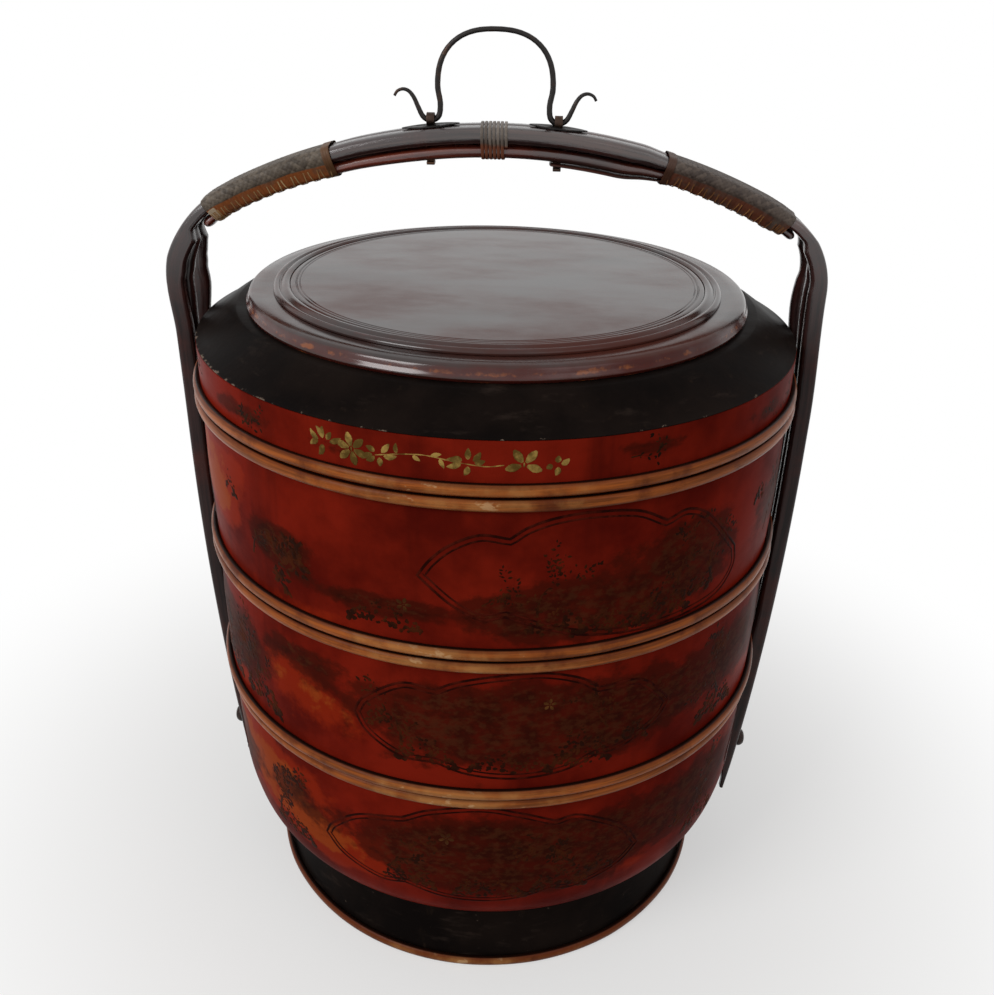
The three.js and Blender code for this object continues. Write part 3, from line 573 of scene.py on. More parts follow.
def smoothed(piece, angle=35):
    """Shades a piece smooth, apart from edges sharper than an angle."""
    chosen(piece)
    bpy.ops.object.shade_smooth_by_angle(angle=math.radians(angle))
    return piece


def turned_out(merge=None):
    """Turns the active piece's faces outwards, after merging points that lie closer than so many metres."""
    bpy.ops.object.mode_set(mode="EDIT")
    bpy.ops.mesh.select_all(action="SELECT")
    if merge:
        bpy.ops.mesh.remove_doubles(threshold=merge)
    bpy.ops.mesh.normals_make_consistent(inside=False)
    bpy.ops.object.mode_set(mode="OBJECT")


def spun(name, profile, steps=180, angle=35):
    """A profile of (radius, height) spun all the way round the upright axis.

    A profile that starts and ends on the axis is left open between its ends."""
    bpy.ops.object.select_all(action="DESELECT")
    bpy.ops.mesh.primitive_circle_add(vertices=len(profile), radius=0.1)
    piece = bpy.context.object
    piece.name = name
    piece.data.name = name
    for vertex, (radius, height) in zip(piece.data.vertices, profile):
        vertex.co = Vector((0, -radius, height)) * MM
    on_axis = profile[0][0] == profile[-1][0] == 0
    if on_axis:
        ends = {0, len(profile) - 1}
        for edge in piece.data.edges:
            edge.select = set(edge.vertices) == ends
        for vertex in piece.data.vertices:
            vertex.select = vertex.index in ends
    bpy.ops.object.mode_set(mode="EDIT")
    if on_axis:
        bpy.ops.mesh.select_mode(type="EDGE")
        bpy.ops.mesh.delete(type="EDGE")
    bpy.ops.mesh.select_mode(type="VERT")
    bpy.ops.mesh.select_all(action="SELECT")
    bpy.ops.mesh.spin(steps=steps, angle=math.radians(360), center=(0, 0, 0), axis=(0, 0, 1))
    turned_out(0.00001)
    return smoothed(piece, angle)


def drawn(name, strokes, settings):
    """A mesh of the strokes of a curve with these settings, each as (points, half widths, closed)."""
    curve = bpy.data.curves.new(name, "CURVE")
    for key, value in settings.items():
        setattr(curve, key, value)
    for places, halves, closed in strokes:
        spline = curve.splines.new("POLY")
        spline.points.add(len(places) - 1)
        spline.use_cyclic_u = closed
        for point, place, half in zip(spline.points, places, halves):
            point.co = (*place, 1)
            point.radius = half
    drawing = bpy.data.objects.new(name, curve)
    bpy.context.scene.collection.objects.link(drawing)
    chosen(drawing)
    bpy.ops.object.convert(target="MESH")
    piece = bpy.context.object
    piece.name = name
    return piece


def skinned(name, skins, angle=50):
    """A closed piece of one or more skins, each over rings of points in millimetres and capped at its ends.

    A skin is (rings, joined), and joined runs its last ring into its first. The fibre map runs along it."""
    mesh = bpy.data.meshes.new(name)
    piece = bpy.data.objects.new(name, mesh)
    bpy.context.scene.collection.objects.link(piece)
    shape = bmesh.new()
    fibre = shape.loops.layers.uv.new("fibre")
    for rings, joined in skins:
        rows = [[shape.verts.new(point * MM) for point in ring] for ring in rings]
        count = len(rows[0])
        middle = rings[len(rings) // 2]
        girth, length = [0.0], [0.0]
        for k in range(count):
            girth.append(girth[-1] + (middle[(k + 1) % count] - middle[k]).length)
        for i in range(len(rings)):
            length.append(length[-1] + (rings[(i + 1) % len(rings)][0] - rings[i][0]).length)
        for i in range(len(rings) if joined else len(rings) - 1):
            for k in range(count):
                there, beside = (i + 1) % len(rows), (k + 1) % count
                face = shape.faces.new((rows[i][k], rows[i][beside], rows[there][beside], rows[there][k]))
                corners = ((k, i), (k + 1, i), (k + 1, i + 1), (k, i + 1))
                for loop, (around, along) in zip(face.loops, corners):
                    loop[fibre].uv = (girth[around] * MM, length[along] * MM)
        if not joined:
            shape.faces.new(rows[0])
            shape.faces.new(rows[-1])
    bmesh.ops.recalc_face_normals(shape, faces=shape.faces)
    shape.to_mesh(mesh)
    shape.free()
    return smoothed(piece, angle)


# Walls, lid, foot and hoops

def swelling_wall(low_seam, low_radius, high_seam, high_radius):
    """Outer face of a tier's wall, which swells a little between its hoops."""
    low, high = low_seam + PLAY / 2, high_seam - PLAY / 2
    middle = ((low_radius + high_radius) / 2 + WALL_SWELL, (low + high) / 2)
    inset = HOOP_HEIGHT + HOOP_SET_BACK
    swell = curved([(low_radius, low + inset), middle, (high_radius, high - inset)], 9)
    return [Vector((low_radius, low)), *swell, Vector((high_radius, high))]


def bowl_face():
    """Outer face of the bowl from its rim down to its lip."""
    belly = curved([(BOWL_RADIUS + BOWL_SWELL, BOWL_UPRIGHT_FROM), (192.8, BOWL_BELLY_HEIGHT), (189.8, 91),
                    (185, 76), (176.4, 65), (165, 56.5), (156, BOWL_FLOOR)], 5)
    rim = spaced([(BOWL_RADIUS, BOWL_SEAM - PLAY / 2), (BOWL_RADIUS + BOWL_SWELL, BOWL_UPRIGHT_FROM)], 4)
    return [*rim, *belly[1:]]


def wall_radius(face, height):
    """Radius of a wall's outer face at a height."""
    for here, there in zip(face, face[1:]):
        low, high = sorted((here, there), key=lambda point: point[1])
        if low[1] <= height <= high[1] and high[1] > low[1]:
            return low[0] + (high[0] - low[0]) * (height - low[1]) / (high[1] - low[1])
    return face[0][0]


def lacquered_wall(name, face, inside, body, lacquer):
    """A tier's wall, spun from its outer face and its inside, with the painting's ground, the painted shade
    beside the handle, and its wear.
    """
    piece = spun(name, [*face, *inside])
    for layer, patches, most in (("smoky_ground_and_shade", SMOKY_GROUND_AND_SHADE, 0.68), ("rubbed", RUBBED, 0.85)):
        def level(point):
            outside = radius_of(point) > OUTSIDE_FROM or point.z < BOWL_TURNS_IN
            return min(most, blot(patches, angle_of(point), point.z)) if outside else 0

        painted(piece, layer, level)
    return dressed(piece, lacquer, body, "lacquer", name)


def cane_profile(inner, low, depth, height):
    """A split cane's half-round section, flat against the wall."""
    middle = low + height / 2
    section = [(inner, low + height - 0.3)]
    for k in range(13):
        turn = math.pi / 2 - math.pi * k / 12
        out = abs(math.cos(turn)) ** 0.62
        section.append((inner + 0.5 + (depth - 0.5) * out, middle + math.sin(turn) * height / 2))
    return [*section, (inner, low + 0.3)]


def cane_hoop(name, inner, low, depth, height, body, cane, seed):
    """A hoop of split cane: it wanders a little, has painted shade on its edges, at its seam and behind the
    handle, and is rubbed gold in front.
    """
    piece = spun(name, cane_profile(inner, low, depth, height), angle=60)
    chance = random.Random(seed)
    waves = [(chance.uniform(0.05, 0.14), chance.randint(2, 11), chance.uniform(0, 6.3)) for _ in range(6)]
    outer, middle = inner + depth, low + height / 2
    for vertex in piece.data.vertices:
        point = vertex.co / MM
        turn = math.radians(angle_of(point))
        sway = sum(size * math.sin(count * turn + phase) for size, count, phase in waves)
        out = Vector((point.x, point.y, 0)).normalized()
        share = (radius_of(point) - inner) / depth
        vertex.co = (point - out * (abs(sway) * share) + Vector((0, 0, sway * 0.5 * share))) * MM

    # Painted shade: darker on the hoop's upper and lower flanks, black in the seam next to the neighbouring
    # hoop, and darker where the handle's uprights shade it.
    def shade_and_dark_tone(point):
        edge = abs(point.z - middle) / (height / 2)
        flank_shade = 0.62 * rising(edge, 0.3, 0.55)
        handle_shade = 0.6 * rising(abs(math.sin(math.radians(angle_of(point)))), 0.9, 0.09)
        seam = rising(edge, 0.72, 0.26) * ease((outer - radius_of(point)) / (depth * 0.55))
        return max(flank_shade, handle_shade, seam)

    painted(piece, "shade_and_dark_tone", shade_and_dark_tone)
    painted(piece, "rubbed", lambda point: 0.55 * bell(angle_of(point) + 4, 34)
            + 0.2 * bell(angle_of(point) - 62, 22))
    return dressed(piece, cane, body, "cane", name)


class BasketSettings(bpy.types.PropertyGroup):
    """Sizes and colours that a user would change."""

    red_lacquer: bpy.props.FloatVectorProperty(
        name="Red lacquer", description="Colour of the walls' red lacquer under its varnish",
        subtype="COLOR", size=3, min=0, max=1, default=linear("7e1e10")[:3])
    cane: bpy.props.FloatVectorProperty(
        name="Cane", description="Colour of the varnished cane of the hoops",
        subtype="COLOR", size=3, min=0, max=1, default=linear("a85a26")[:3])
    line_width: bpy.props.FloatProperty(
        name="Line width", description="Width of the raised lines round the pictures",
        subtype="DISTANCE", unit="LENGTH", min=0.0004, max=0.003, default=0.0018)
    relief: bpy.props.FloatProperty(
        name="Relief", description="How far the raised lines and leaves stand out of the wall",
        subtype="DISTANCE", unit="LENGTH", min=0.0001, max=0.001, default=0.0005)
    strand_width: bpy.props.FloatProperty(
        name="Strand width", description="Width of the split rattan woven round the grips",
        subtype="DISTANCE", unit="LENGTH", min=0.001, max=0.005, default=0.0024)


class BASKET_OT_tiers(bpy.types.Operator):
    """Turns the lacquered walls of the bowl, the two trays and the lid's skirt"""

    bl_idname = "basket.tiers"
    bl_label = "Lacquered walls"

    def execute(self, context):
        lacquer = cinnabar_lacquer(context.scene.basket.red_lacquer)
        middle = swelling_wall(BOWL_SEAM, MIDDLE_RADIUS, MIDDLE_SEAM, MIDDLE_RADIUS)
        upper = swelling_wall(MIDDLE_SEAM, MIDDLE_RADIUS, UPPER_SEAM, UPPER_RADIUS)
        for name, face, body in (("middle_wall", middle, "middle_tray"), ("upper_wall", upper, "upper_tray")):
            inside = spaced([(face[-1][0] - WALL, face[-1][1]), (face[0][0] - WALL, face[0][1])], 24)
            lacquered_wall(name, face, inside, body, lacquer)
        low = UPPER_SEAM + PLAY / 2
        skirt = spaced([(UPPER_RADIUS, low), (UPPER_RADIUS, SKIRT_TOP)], 4)
        inside = [(UPPER_RADIUS - WALL, SKIRT_TOP), (UPPER_RADIUS - WALL, low)]
        lacquered_wall("lid_skirt", skirt, inside, "lid", lacquer)
        inner = BOWL_RADIUS - WALL
        belly = curved([(161, 61), (170, 69), (178, 80), (186.2, BOWL_BELLY_HEIGHT),
                        (inner, BOWL_UPRIGHT_FROM)], 3)
        inside = [(BOWL_LIP_RADIUS, BOWL_FLOOR), (BOWL_LIP_RADIUS, BOWL_FLOOR + WALL), *belly,
                  (inner, BOWL_SEAM - PLAY / 2)]
        lacquered_wall("bowl_wall", bowl_face(), inside, "base", lacquer)
        dress(("bowl_collar", "middle_collar", "upper_collar"), lacquer)
        return {"FINISHED"}


class BASKET_OT_lid(bpy.types.Operator):
    """Turns the lid's black shoulder and its polished ring, moulding and panel"""

    bl_idname = "basket.lid"
    bl_label = "Lid"

    def execute(self, context):
        self.shoulder()
        polish = polished_lacquer()
        self.ring(polish)
        self.moulding(polish)
        self.panel(polish)
        return {"FINISHED"}

    def shoulder(self):
        """The black slope from the ring down to the skirt, chipped along its lower edge."""
        top, low = SHOULDER_TOP, SKIRT_TOP + PLAY
        slope = curved([(168.8, top), (174.7, top - 3.4), (186.6, 431.9), (191.8, 428.5), (194.8, 426.9)], 5)
        piece = spun("lid_shoulder", [
            (150, top - WALL), (150, top), (159, top), *slope, (SHOULDER_RADIUS, 426.5),
            (SHOULDER_RADIUS, low), (189.6, low), (172, top - WALL)], angle=50)
        painted(piece, "rubbed", lambda point: 0.62 * ease((429.5 - point.z) / 3)
                * (0.82 + 0.18 * bell(angle_of(point) + 62, 26)))
        dressed(piece, black_lacquer(), "lid", "black_lacquer", "lid_shoulder")

    def ring(self, polish):
        """The broad ring, rounded to a bead at its rim, where it is worn."""
        low, top, outer = SHOULDER_TOP + PLAY, RING_TOP, RING_RADIUS
        bead = curved([(outer - 1, low), (outer, low + 2), (outer - 1.2, low + 4.4), (outer - 1.7, low + 6),
                       (outer - 2.5, top - 1.2), (outer - 4.3, top)], 4)
        piece = spun("lid_ring", [
            (RING_BORE, RING_LEDGE), (RING_BORE, low), *bead, (152, top), (PANEL_RADIUS + PLAY, top),
            (PANEL_RADIUS + PLAY, RING_LEDGE)], angle=40)
        painted(piece, "rubbed", lambda point: 0.75 * bell(radius_of(point) - 161.8, 1.6)
                + 0.25 * bell(radius_of(point) - 158, 2))
        dressed(piece, polish, "lid", "brown_lacquer", "lid_ring")

    def moulding(self, polish):
        """The double bead laid on the ring round the panel."""
        low, outer, inner = RING_TOP + PLAY, MOULDING_RADIUS, PANEL_RADIUS + PLAY
        beads = curved([(outer, low), (outer - 0.1, low + 1.5), (outer - 1.7, low + 3),
                        (outer - 3.3, low + 2.9), (outer - 4.4, low + 1.9), (outer - 5.6, low + 2.6),
                        (inner + 3, low + 3.7), (inner + 1.2, low + 3.5), (inner, low + 2.6)], 4)
        piece = spun("lid_moulding", [(inner, low), *beads], angle=40)
        painted(piece, "rubbed", lambda point: 0.42 * bell(radius_of(point) - 143.5, 1.4))
        dressed(piece, polish, "lid", "brown_lacquer", "lid_moulding")

    def panel(self, polish):
        """The flat panel, with two grooves turned near its edge."""
        top, edge, low = PANEL_TOP, PANEL_RADIUS, RING_LEDGE + PLAY
        groove = curved([(edge - 3.2, top - 0.05), (edge - 3.9, top - 0.75), (edge - 4.6, top - 0.1)], 4)
        second = curved([(edge - 5.6, top - 0.1), (edge - 6.1, top - 0.5), (edge - 6.6, top)], 3)
        field = spaced([(edge - 7.6, top), (0, top)], 9)
        piece = spun("lid_panel", [
            (0, low), (edge, low), (edge, top - 0.6), (edge - 0.7, top - 0.15), (edge - 2, top),
            *groove, *second, *field], angle=40)
        painted(piece, "rubbed", lambda point: 0.22 * bell(point.x + 60, 70) * bell(point.y + 60, 50))
        dressed(piece, polish, "lid", "brown_lacquer", "lid_panel")


class BASKET_OT_foot(bpy.types.Operator):
    """Turns the black foot ring"""

    bl_idname = "basket.foot"
    bl_label = "Foot ring"

    def execute(self, context):
        top, base, neck = BOWL_FLOOR - PLAY, FOOT_BASE_RADIUS, FOOT_TOP_RADIUS
        face = curved([(base, 0.4), (base - 0.4, 8), (base - 4.2, 24), (neck + 1.4, 42), (neck, top)], 6)
        piece = spun("foot_ring", [(base - 7.4, 0), (base - 0.6, 0), *face, (neck - 9, top)])
        painted(piece, "rubbed", lambda point: 0.44
                + 0.16 * rising(point.z, 46, 4) * bell(angle_of(point) + 4, 30))
        dressed(piece, black_lacquer(), "base", "black_lacquer", "foot_ring")
        return {"FINISHED"}


class BASKET_OT_hoops(bpy.types.Operator):
    """Bends the cane hoops round the rims and the foot"""

    bl_idname = "basket.hoops"
    bl_label = "Cane hoops"

    def execute(self, context):
        cane = varnished_cane(context.scene.basket.cane)
        above, below = HOOP_SET_BACK, -HOOP_SET_BACK - HOOP_HEIGHT
        hoops = (("bowl_rim_hoop", BOWL_RADIUS, BOWL_SEAM + below, "base"),
                 ("middle_bottom_hoop", MIDDLE_RADIUS, BOWL_SEAM + above, "middle_tray"),
                 ("middle_top_hoop", MIDDLE_RADIUS, MIDDLE_SEAM + below, "middle_tray"),
                 ("upper_bottom_hoop", MIDDLE_RADIUS, MIDDLE_SEAM + above, "upper_tray"),
                 ("upper_top_hoop", UPPER_RADIUS, UPPER_SEAM + below, "upper_tray"),
                 ("lid_rim_hoop", UPPER_RADIUS, UPPER_SEAM + above, "lid"))
        for seed, (name, radius, low, body) in enumerate(hoops):
            cane_hoop(name, radius + PLAY, low, HOOP_DEPTH, HOOP_HEIGHT, body, cane, seed)
        inner, low = FOOT_BASE_RADIUS + PLAY + 0.1, 0.2
        depth, height = FOOT_HOOP_RADIUS - inner, FOOT_HOOP_HEIGHT - low
        cane_hoop("foot_hoop", inner, low, depth, height, "base", varnished_cane(linear("6f3517")), 9)
        return {"FINISHED"}


# Raised and painted work

def on_walls(height):
    """Outer face and body of the wall at a height."""
    if height < BOWL_SEAM:
        return bowl_face(), "base"
    if height < MIDDLE_SEAM:
        return swelling_wall(BOWL_SEAM, MIDDLE_RADIUS, MIDDLE_SEAM, MIDDLE_RADIUS), "middle_tray"
    if height < UPPER_SEAM:
        return swelling_wall(MIDDLE_SEAM, MIDDLE_RADIUS, UPPER_SEAM, UPPER_RADIUS), "upper_tray"
    return [Vector((UPPER_RADIUS, UPPER_SEAM)), Vector((UPPER_RADIUS, SKIRT_TOP))], "lid"


def brushed(name, strokes, rise, material, low_margin=9.2, high_margin=8.6):
    """Brush strokes laid on one wall as one piece: each is (points, half widths, closed), in degrees and
    millimetres. They are drawn flat as tapering tubes, pressed to their rise, and wrapped round the wall.

    A stroke that would come nearer to the wall's seams than the margins is left out."""
    face, body = on_walls(strokes[0][0][0][1])
    heights = [point[1] for point in face]
    low = max(min(heights), PAINTED_FROM) + (1.2 if body == "base" else low_margin)
    high = max(heights) - (1.4 if body == "lid" else high_margin)
    reach = MIDDLE_RADIUS
    flat = [([(math.radians(angle) * reach * MM, 0, height * MM) for angle, height in points], halves, closed)
            for points, halves, closed in strokes if all(low < point[1] < high for point in points)]
    piece = drawn(name, flat,
                  {"dimensions": "3D", "bevel_depth": MM, "bevel_resolution": 1, "use_fill_caps": True})
    for vertex in piece.data.vertices:
        arc, out, height = vertex.co / MM
        radius = wall_radius(face, height) - 0.12 + out * rise
        turn = arc / reach
        vertex.co = Vector((radius * math.sin(turn), -radius * math.cos(turn), height)) * MM
    turned_out()
    smoothed(piece, 60)
    return dressed(piece, material, body, "lacquer")


def frame_line(stretches, inset):
    """Points of a raised frame, drawn in by so many millimetres towards its middle."""
    line = [point for stretch in stretches for point in curved(stretch, 6)[:-1]]
    middle = sum(line, Vector((0, 0))) / len(line)
    scale = math.radians(1) * MIDDLE_RADIUS
    inner = []
    for k, point in enumerate(line):
        before, after = line[k - 1], line[(k + 1) % len(line)]
        along = Vector(((after[0] - before[0]) * scale, after[1] - before[1])).normalized()
        inward = Vector((along[1], -along[0]))
        if inward.dot(Vector(((middle[0] - point[0]) * scale, middle[1] - point[1]))) < 0:
            inward = -inward
        inner.append((point[0] + inward[0] * inset / scale, point[1] + inward[1] * inset))
    return inner


def onward(point, reach, turn):
    """The point (angle, height) that lies so many millimetres further on, at a turn from the level."""
    return point[0] + reach * math.cos(turn) / DEGREE, point[1] + reach * math.sin(turn)


def leaf(root, chance, heading, length, half):
    """A leaf as a stroke that swells and tapers, bent a little."""
    bend = chance.uniform(-0.5, 0.5)
    points = [onward(root, length * k / 5, heading + bend * k / 5) for k in range(6)]
    return points, [0.12, half * 0.7, half, half * 0.85, half * 0.45, 0.1], False


def branch(root, chance, heading, length, half, leaf_length, depth=0):
    """A gnarled branch with side twigs, each carrying leaves: a list of strokes."""
    points, halves, strokes = [root], [half], []
    place, turn = Vector(root), heading
    steps = max(3, round(length / 5))
    for k in range(1, steps + 1):
        turn += chance.uniform(-0.42, 0.42)
        place = place + Vector((math.cos(turn) / DEGREE, math.sin(turn))) * (length / steps)
        points.append(tuple(place))
        halves.append(max(0.18, half * (1 - k / (steps + 1))))
        if depth < 2 and chance.random() < 0.55:
            side = turn + chance.choice((-1, 1)) * chance.uniform(0.5, 1.1)
            strokes += branch(tuple(place), chance, side, length * chance.uniform(0.3, 0.5), halves[-1] * 0.7,
                              leaf_length, depth + 1)
        for _ in range(2 if depth else 1):
            side = turn + chance.choice((-1, 1)) * chance.uniform(0.4, 1.3)
            size = leaf_length * chance.uniform(0.6, 1.1)
            strokes.append(leaf(tuple(place), chance, side, size, size * 0.2))
    return [(points, halves, False), *strokes]


def clump(middle, chance, width, height, size=1.5):
    """Rock or foliage as short overlapping dabs of a loaded brush, thicker towards its foot."""
    strokes = []
    for _ in range(round(width * height / 7)):
        across = chance.uniform(-1, 1)
        up = chance.random() ** 1.1 * (1 - abs(across) ** 2.2) + chance.uniform(-0.12, 0.12)
        half = size * chance.uniform(0.5, 1.25) * (1.1 - 0.5 * up)
        turn = chance.uniform(-0.5, 0.5) + across * -0.7
        reach = half * chance.uniform(1.4, 2.6)
        start = (middle[0] + across * width / 2 / DEGREE, middle[1] + up * height)
        points = [onward(start, reach * k / 3, turn) for k in range(4)]
        strokes.append((points, [half * 0.35, half, half * 0.8, half * 0.2], False))
    return strokes


def blossom(middle, chance, size, petals=5):
    """A blossom of rounded petals round a bud."""
    start = chance.uniform(0, 1.2)
    bud = [(middle[0] - 0.12, middle[1]), middle, (middle[0] + 0.12, middle[1])]
    strokes = [(bud, [size * 0.1, size * 0.16, size * 0.1], False)]
    for k in range(petals):
        turn = start + 2 * math.pi * k / petals
        points = [onward(middle, size * (0.16 + 0.21 * i), turn) for i in range(5)]
        strokes.append((points, [size * share for share in (0.08, 0.2, 0.27, 0.22, 0.07)], False))
    return strokes


def grass(root, chance, count, height):
    """A tuft of thin blades."""
    strokes = []
    for _ in range(count):
        turn = math.pi / 2 + chance.uniform(-0.7, 0.7)
        start = (root[0] + chance.uniform(-1.4, 1.4), root[1])
        strokes.append(leaf(start, chance, turn, height * chance.uniform(0.6, 1.1), 0.3))
    return strokes


# The pictures painted on each wall, as (turns round the axis, motifs), with a motif as (its function, angle,
# height, sizes). Those that go round with a frame are laid out inside it.
PICTURES = {
    "upper": [
        ((0, 158, -120), [
            (clump, 13, 307, 34, 20), (clump, 22, 303, 44, 15),
            (clump, 33, 304, 40, 26), (clump, 41, 312, 26, 13),
            (branch, 45, 314, 1.75, 48, 1.3, 5), (branch, 36, 322, 2.1, 30, 1.0, 4.5),
            (branch, 10, 318, 1.9, 40, 1.0, 4.2), (branch, 1, 326, 0.7, 18, 0.8, 4),
            (grass, 19, 316, 9, 16), (grass, 39, 324, 8, 12)]),
        ((0, 214, 110), [
            (branch, -31, 345, 4.2, 34, 1.5, 7), (branch, -45, 320, 0.9, 34, 1.1, 6),
            (clump, -34, 330, 20, 16, 1.8), (clump, -16, 305, 46, 16), (clump, -52, 352, 14, 14),
            (grass, -24, 316, 9, 12), (blossom, -12, 322, 5)]),
    ],
    "middle": [
        ((0, 172, -110, 96), [
            (clump, -9, 210, 38, 20), (clump, 6, 207, 50, 15),
            (clump, 19, 208, 38, 28), (clump, 29, 217, 22, 16),
            (branch, -13, 220, 1.3, 42, 1.2, 5), (branch, 24, 232, 2.0, 30, 1.0, 5),
            (grass, 2, 220, 10, 14), (blossom, 13, 256, 4.5)]),
        ((-48, 52, -64, 136, -160), [
            (branch, 0, 212, 1.4, 48, 1.5, 6), (clump, 0, 203, 44, 24, 1.8), (grass, 8, 208, 7, 16)]),
    ],
    "bowl": [
        ((0, 178, 98, -98), [
            (clump, -13, 101, 36, 20), (clump, 3, 96, 50, 20),
            (clump, 17, 99, 40, 26), (clump, 25, 110, 22, 14),
            (branch, -17, 112, 1.1, 44, 1.4, 6), (branch, 20, 118, 1.9, 40, 1.2, 6),
            (grass, 2, 112, 10, 16), (blossom, -5, 148, 5.5)]),
        ((-46, 50, 140, -142), [
            (branch, 0, 108, 1.3, 46, 1.4, 6), (clump, 4, 98, 40, 22, 1.8)]),
    ],
}


class BASKET_OT_frames(bpy.types.Operator):
    """Lays the double raised line round each picture"""

    bl_idname = "basket.frames"
    bl_label = "Raised frames"

    def execute(self, context):
        settings = context.scene.basket
        material = brush_relief("raised brown lacquer", "240a06", "4c170e", 0.0)
        half = settings.line_width / MM / 2
        rise = settings.relief / MM / half
        frames = (("upper", UPPER_FRAME, (0, 158, -120)), ("middle", MIDDLE_FRAME, (0, 172, -110, 96)),
                  ("bowl", BOWL_FRAME, (0, 178, 98, -98)))
        for name, stretches, turns in frames:
            strokes = []
            for turn in turns:
                turned = [[(angle + turn, height) for angle, height in stretch] for stretch in stretches]
                for inset, share in ((0, 1), (FRAME_INSET, 0.75)):
                    line = frame_line(turned, inset)
                    strokes.append((line, [half * share] * len(line), True))
            brushed(f"{name}_frame", strokes, rise, material, 8, 8)
        return {"FINISHED"}


class BASKET_OT_painting(bpy.types.Operator):
    """Paints the rocks, branches, leaves and grasses on the walls in dark relief"""

    bl_idname = "basket.painting"
    bl_label = "Painted relief"

    def execute(self, context):
        ink = brush_relief("painted brown relief", "29120a", "47200f", 0.0)
        bronze = brush_relief("dulled bronze relief", "3c1f0e", "5e3a1b", 0.2)
        rise = context.scene.basket.relief / MM * 0.5
        chance = random.Random(11)
        for name, pictures in PICTURES.items():
            ground, touches = [], []
            for turns, motifs in pictures:
                for turn in turns:
                    for motif, angle, height, *sizes in motifs:
                        layer = touches if motif in (grass, blossom) else ground
                        layer += motif((angle + turn, height), chance, *sizes)
            brushed(f"{name}_painting", ground, rise, ink)
            brushed(f"{name}_touches", touches, rise, bronze)
        return {"FINISHED"}


class BASKET_OT_gilding(bpy.types.Operator):
    """Gilds sprays of leaves and blossoms on the lid's skirt"""

    bl_idname = "basket.gilding"
    bl_label = "Gilt sprays"

    def execute(self, context):
        gilt = brush_relief("worn gilding", "54401c", "a08245", 0.3)
        ink = brush_relief("painted brown twigs", "1e100a", "3a2012", 0.0)
        rise = context.scene.basket.relief / MM * 0.55
        chance = random.Random(5)
        rosettes = ((-25, 413.5, 9, 8), (-15.5, 412.5, 6, 7), (-1.5, 413, 8, 8), (12, 412, 4, 5))
        vine = curved([(-16, 412), (-12, 414.6), (-8, 415.6), (-4, 413.6), (1, 411.4), (4, 412.4)], 4)
        vine_leaves = ((-12.4, 414.4, 2.0), (-10, 415, -0.7), (-7.2, 415.4, 0.4), (-5.8, 414.8, -1.2))
        sprays, twigs = [], []
        for turn in (0, 112, -124):
            sprays += blossom((-20 + turn, 413), chance, 9.5, 6) + blossom((7 + turn, 412.6), chance, 10)
            for at, level, count, wide in rosettes:
                for k in range(count):
                    heading = 6.28 * k / count + chance.uniform(-0.4, 0.4)
                    aside, up = wide * 0.12 * math.cos(heading), wide * 0.2 * math.sin(heading)
                    length = chance.uniform(0.8, 1.2) * wide
                    sprays.append(leaf((at + turn + aside, level + up), chance, heading, length, 2.0))
            sprays.append(([(point[0] + turn, point[1]) for point in vine], [0.55] * len(vine), False))
            for at, level, heading in vine_leaves:
                sprays.append(leaf((at + turn, level), chance, heading, chance.uniform(5, 7), 1.5))
            for at, heading in ((-46, 0.2), (-40, 2.9), (24, 0.3), (31, 2.7), (54, 0.4)):
                twigs += branch((at + turn, 412), chance, heading, 20, 0.7, 4.5, 1)
        brushed("skirt_sprays", sprays, rise, gilt)
        brushed("skirt_twigs", twigs, rise, ink)
        return {"FINISHED"}


# Handle

def upright_reach(height, hand):
    """How far the upright's outer face stands from the middle at a height."""
    below = max(0, TAIL_LEAN_FROM - height) / TAIL_LEAN_OVER
    above = rising(height, *SHOULDER_LEANS[hand])
    return UPRIGHT_REACH - TAIL_LEAN * below ** 2 + (SHOULDER_REACH[hand] - UPRIGHT_REACH) * above


def outline_point(mark, hand):
    """The handle's outer outline at a mark as (x, z), with the direction (x, z) that points out of it."""
    sign = -1 if hand == "left" else 1
    bend = SHOULDER_BEND[hand]
    bend_x = SHOULDER_REACH[hand] - bend
    rise = math.sqrt((ARCH_RADIUS - bend) ** 2 - bend_x ** 2)
    bend_angle = math.atan2(rise, bend_x)
    if mark < 1:
        height = TAIL_END + (ARCH_CENTRE_HEIGHT + rise - TAIL_END) * mark
        slope = upright_reach(height + 0.5, hand) - upright_reach(height - 0.5, hand)
        return Vector((sign * upright_reach(height, hand), height)), Vector((sign, -slope)).normalized()
    if mark < 2:
        angle = bend_angle * (mark - 1)
        middle, circle_radius = Vector((sign * bend_x, ARCH_CENTRE_HEIGHT + rise)), bend
    else:
        angle = bend_angle + (math.pi / 2 - bend_angle) * (mark - 2)
        middle, circle_radius = Vector((0, ARCH_CENTRE_HEIGHT)), ARCH_RADIUS
    at, over, dip = SHOULDER_FLAT[hand]
    away = min(1, abs(mark - at) / over)
    sink = SLEEVE_SINK[hand] * rising(mark, *SINK_STARTS) * (1 - rising(mark, *SINK_ENDS))
    out = Vector((sign * math.cos(angle), math.sin(angle)))
    return middle + out * (circle_radius - dip * math.cos(away * math.pi / 2) - sink), out


def laid(place, out, section):
    """A section of (across, outward) points laid at a place (x, z), with its outward direction (x, z)."""
    return [Vector((place.x + out.x * o, a, place.y + out.y * o)) for a, o in section]


def placed(mark, hand, section):
    """A section of (across, outward) points laid at a mark of the handle."""
    return laid(*outline_point(mark, hand), section)


def bar_share(mark):
    """How far a stave has turned from its shape on the upright to its shape on the bar."""
    return rising(mark, *BAR_STARTS)


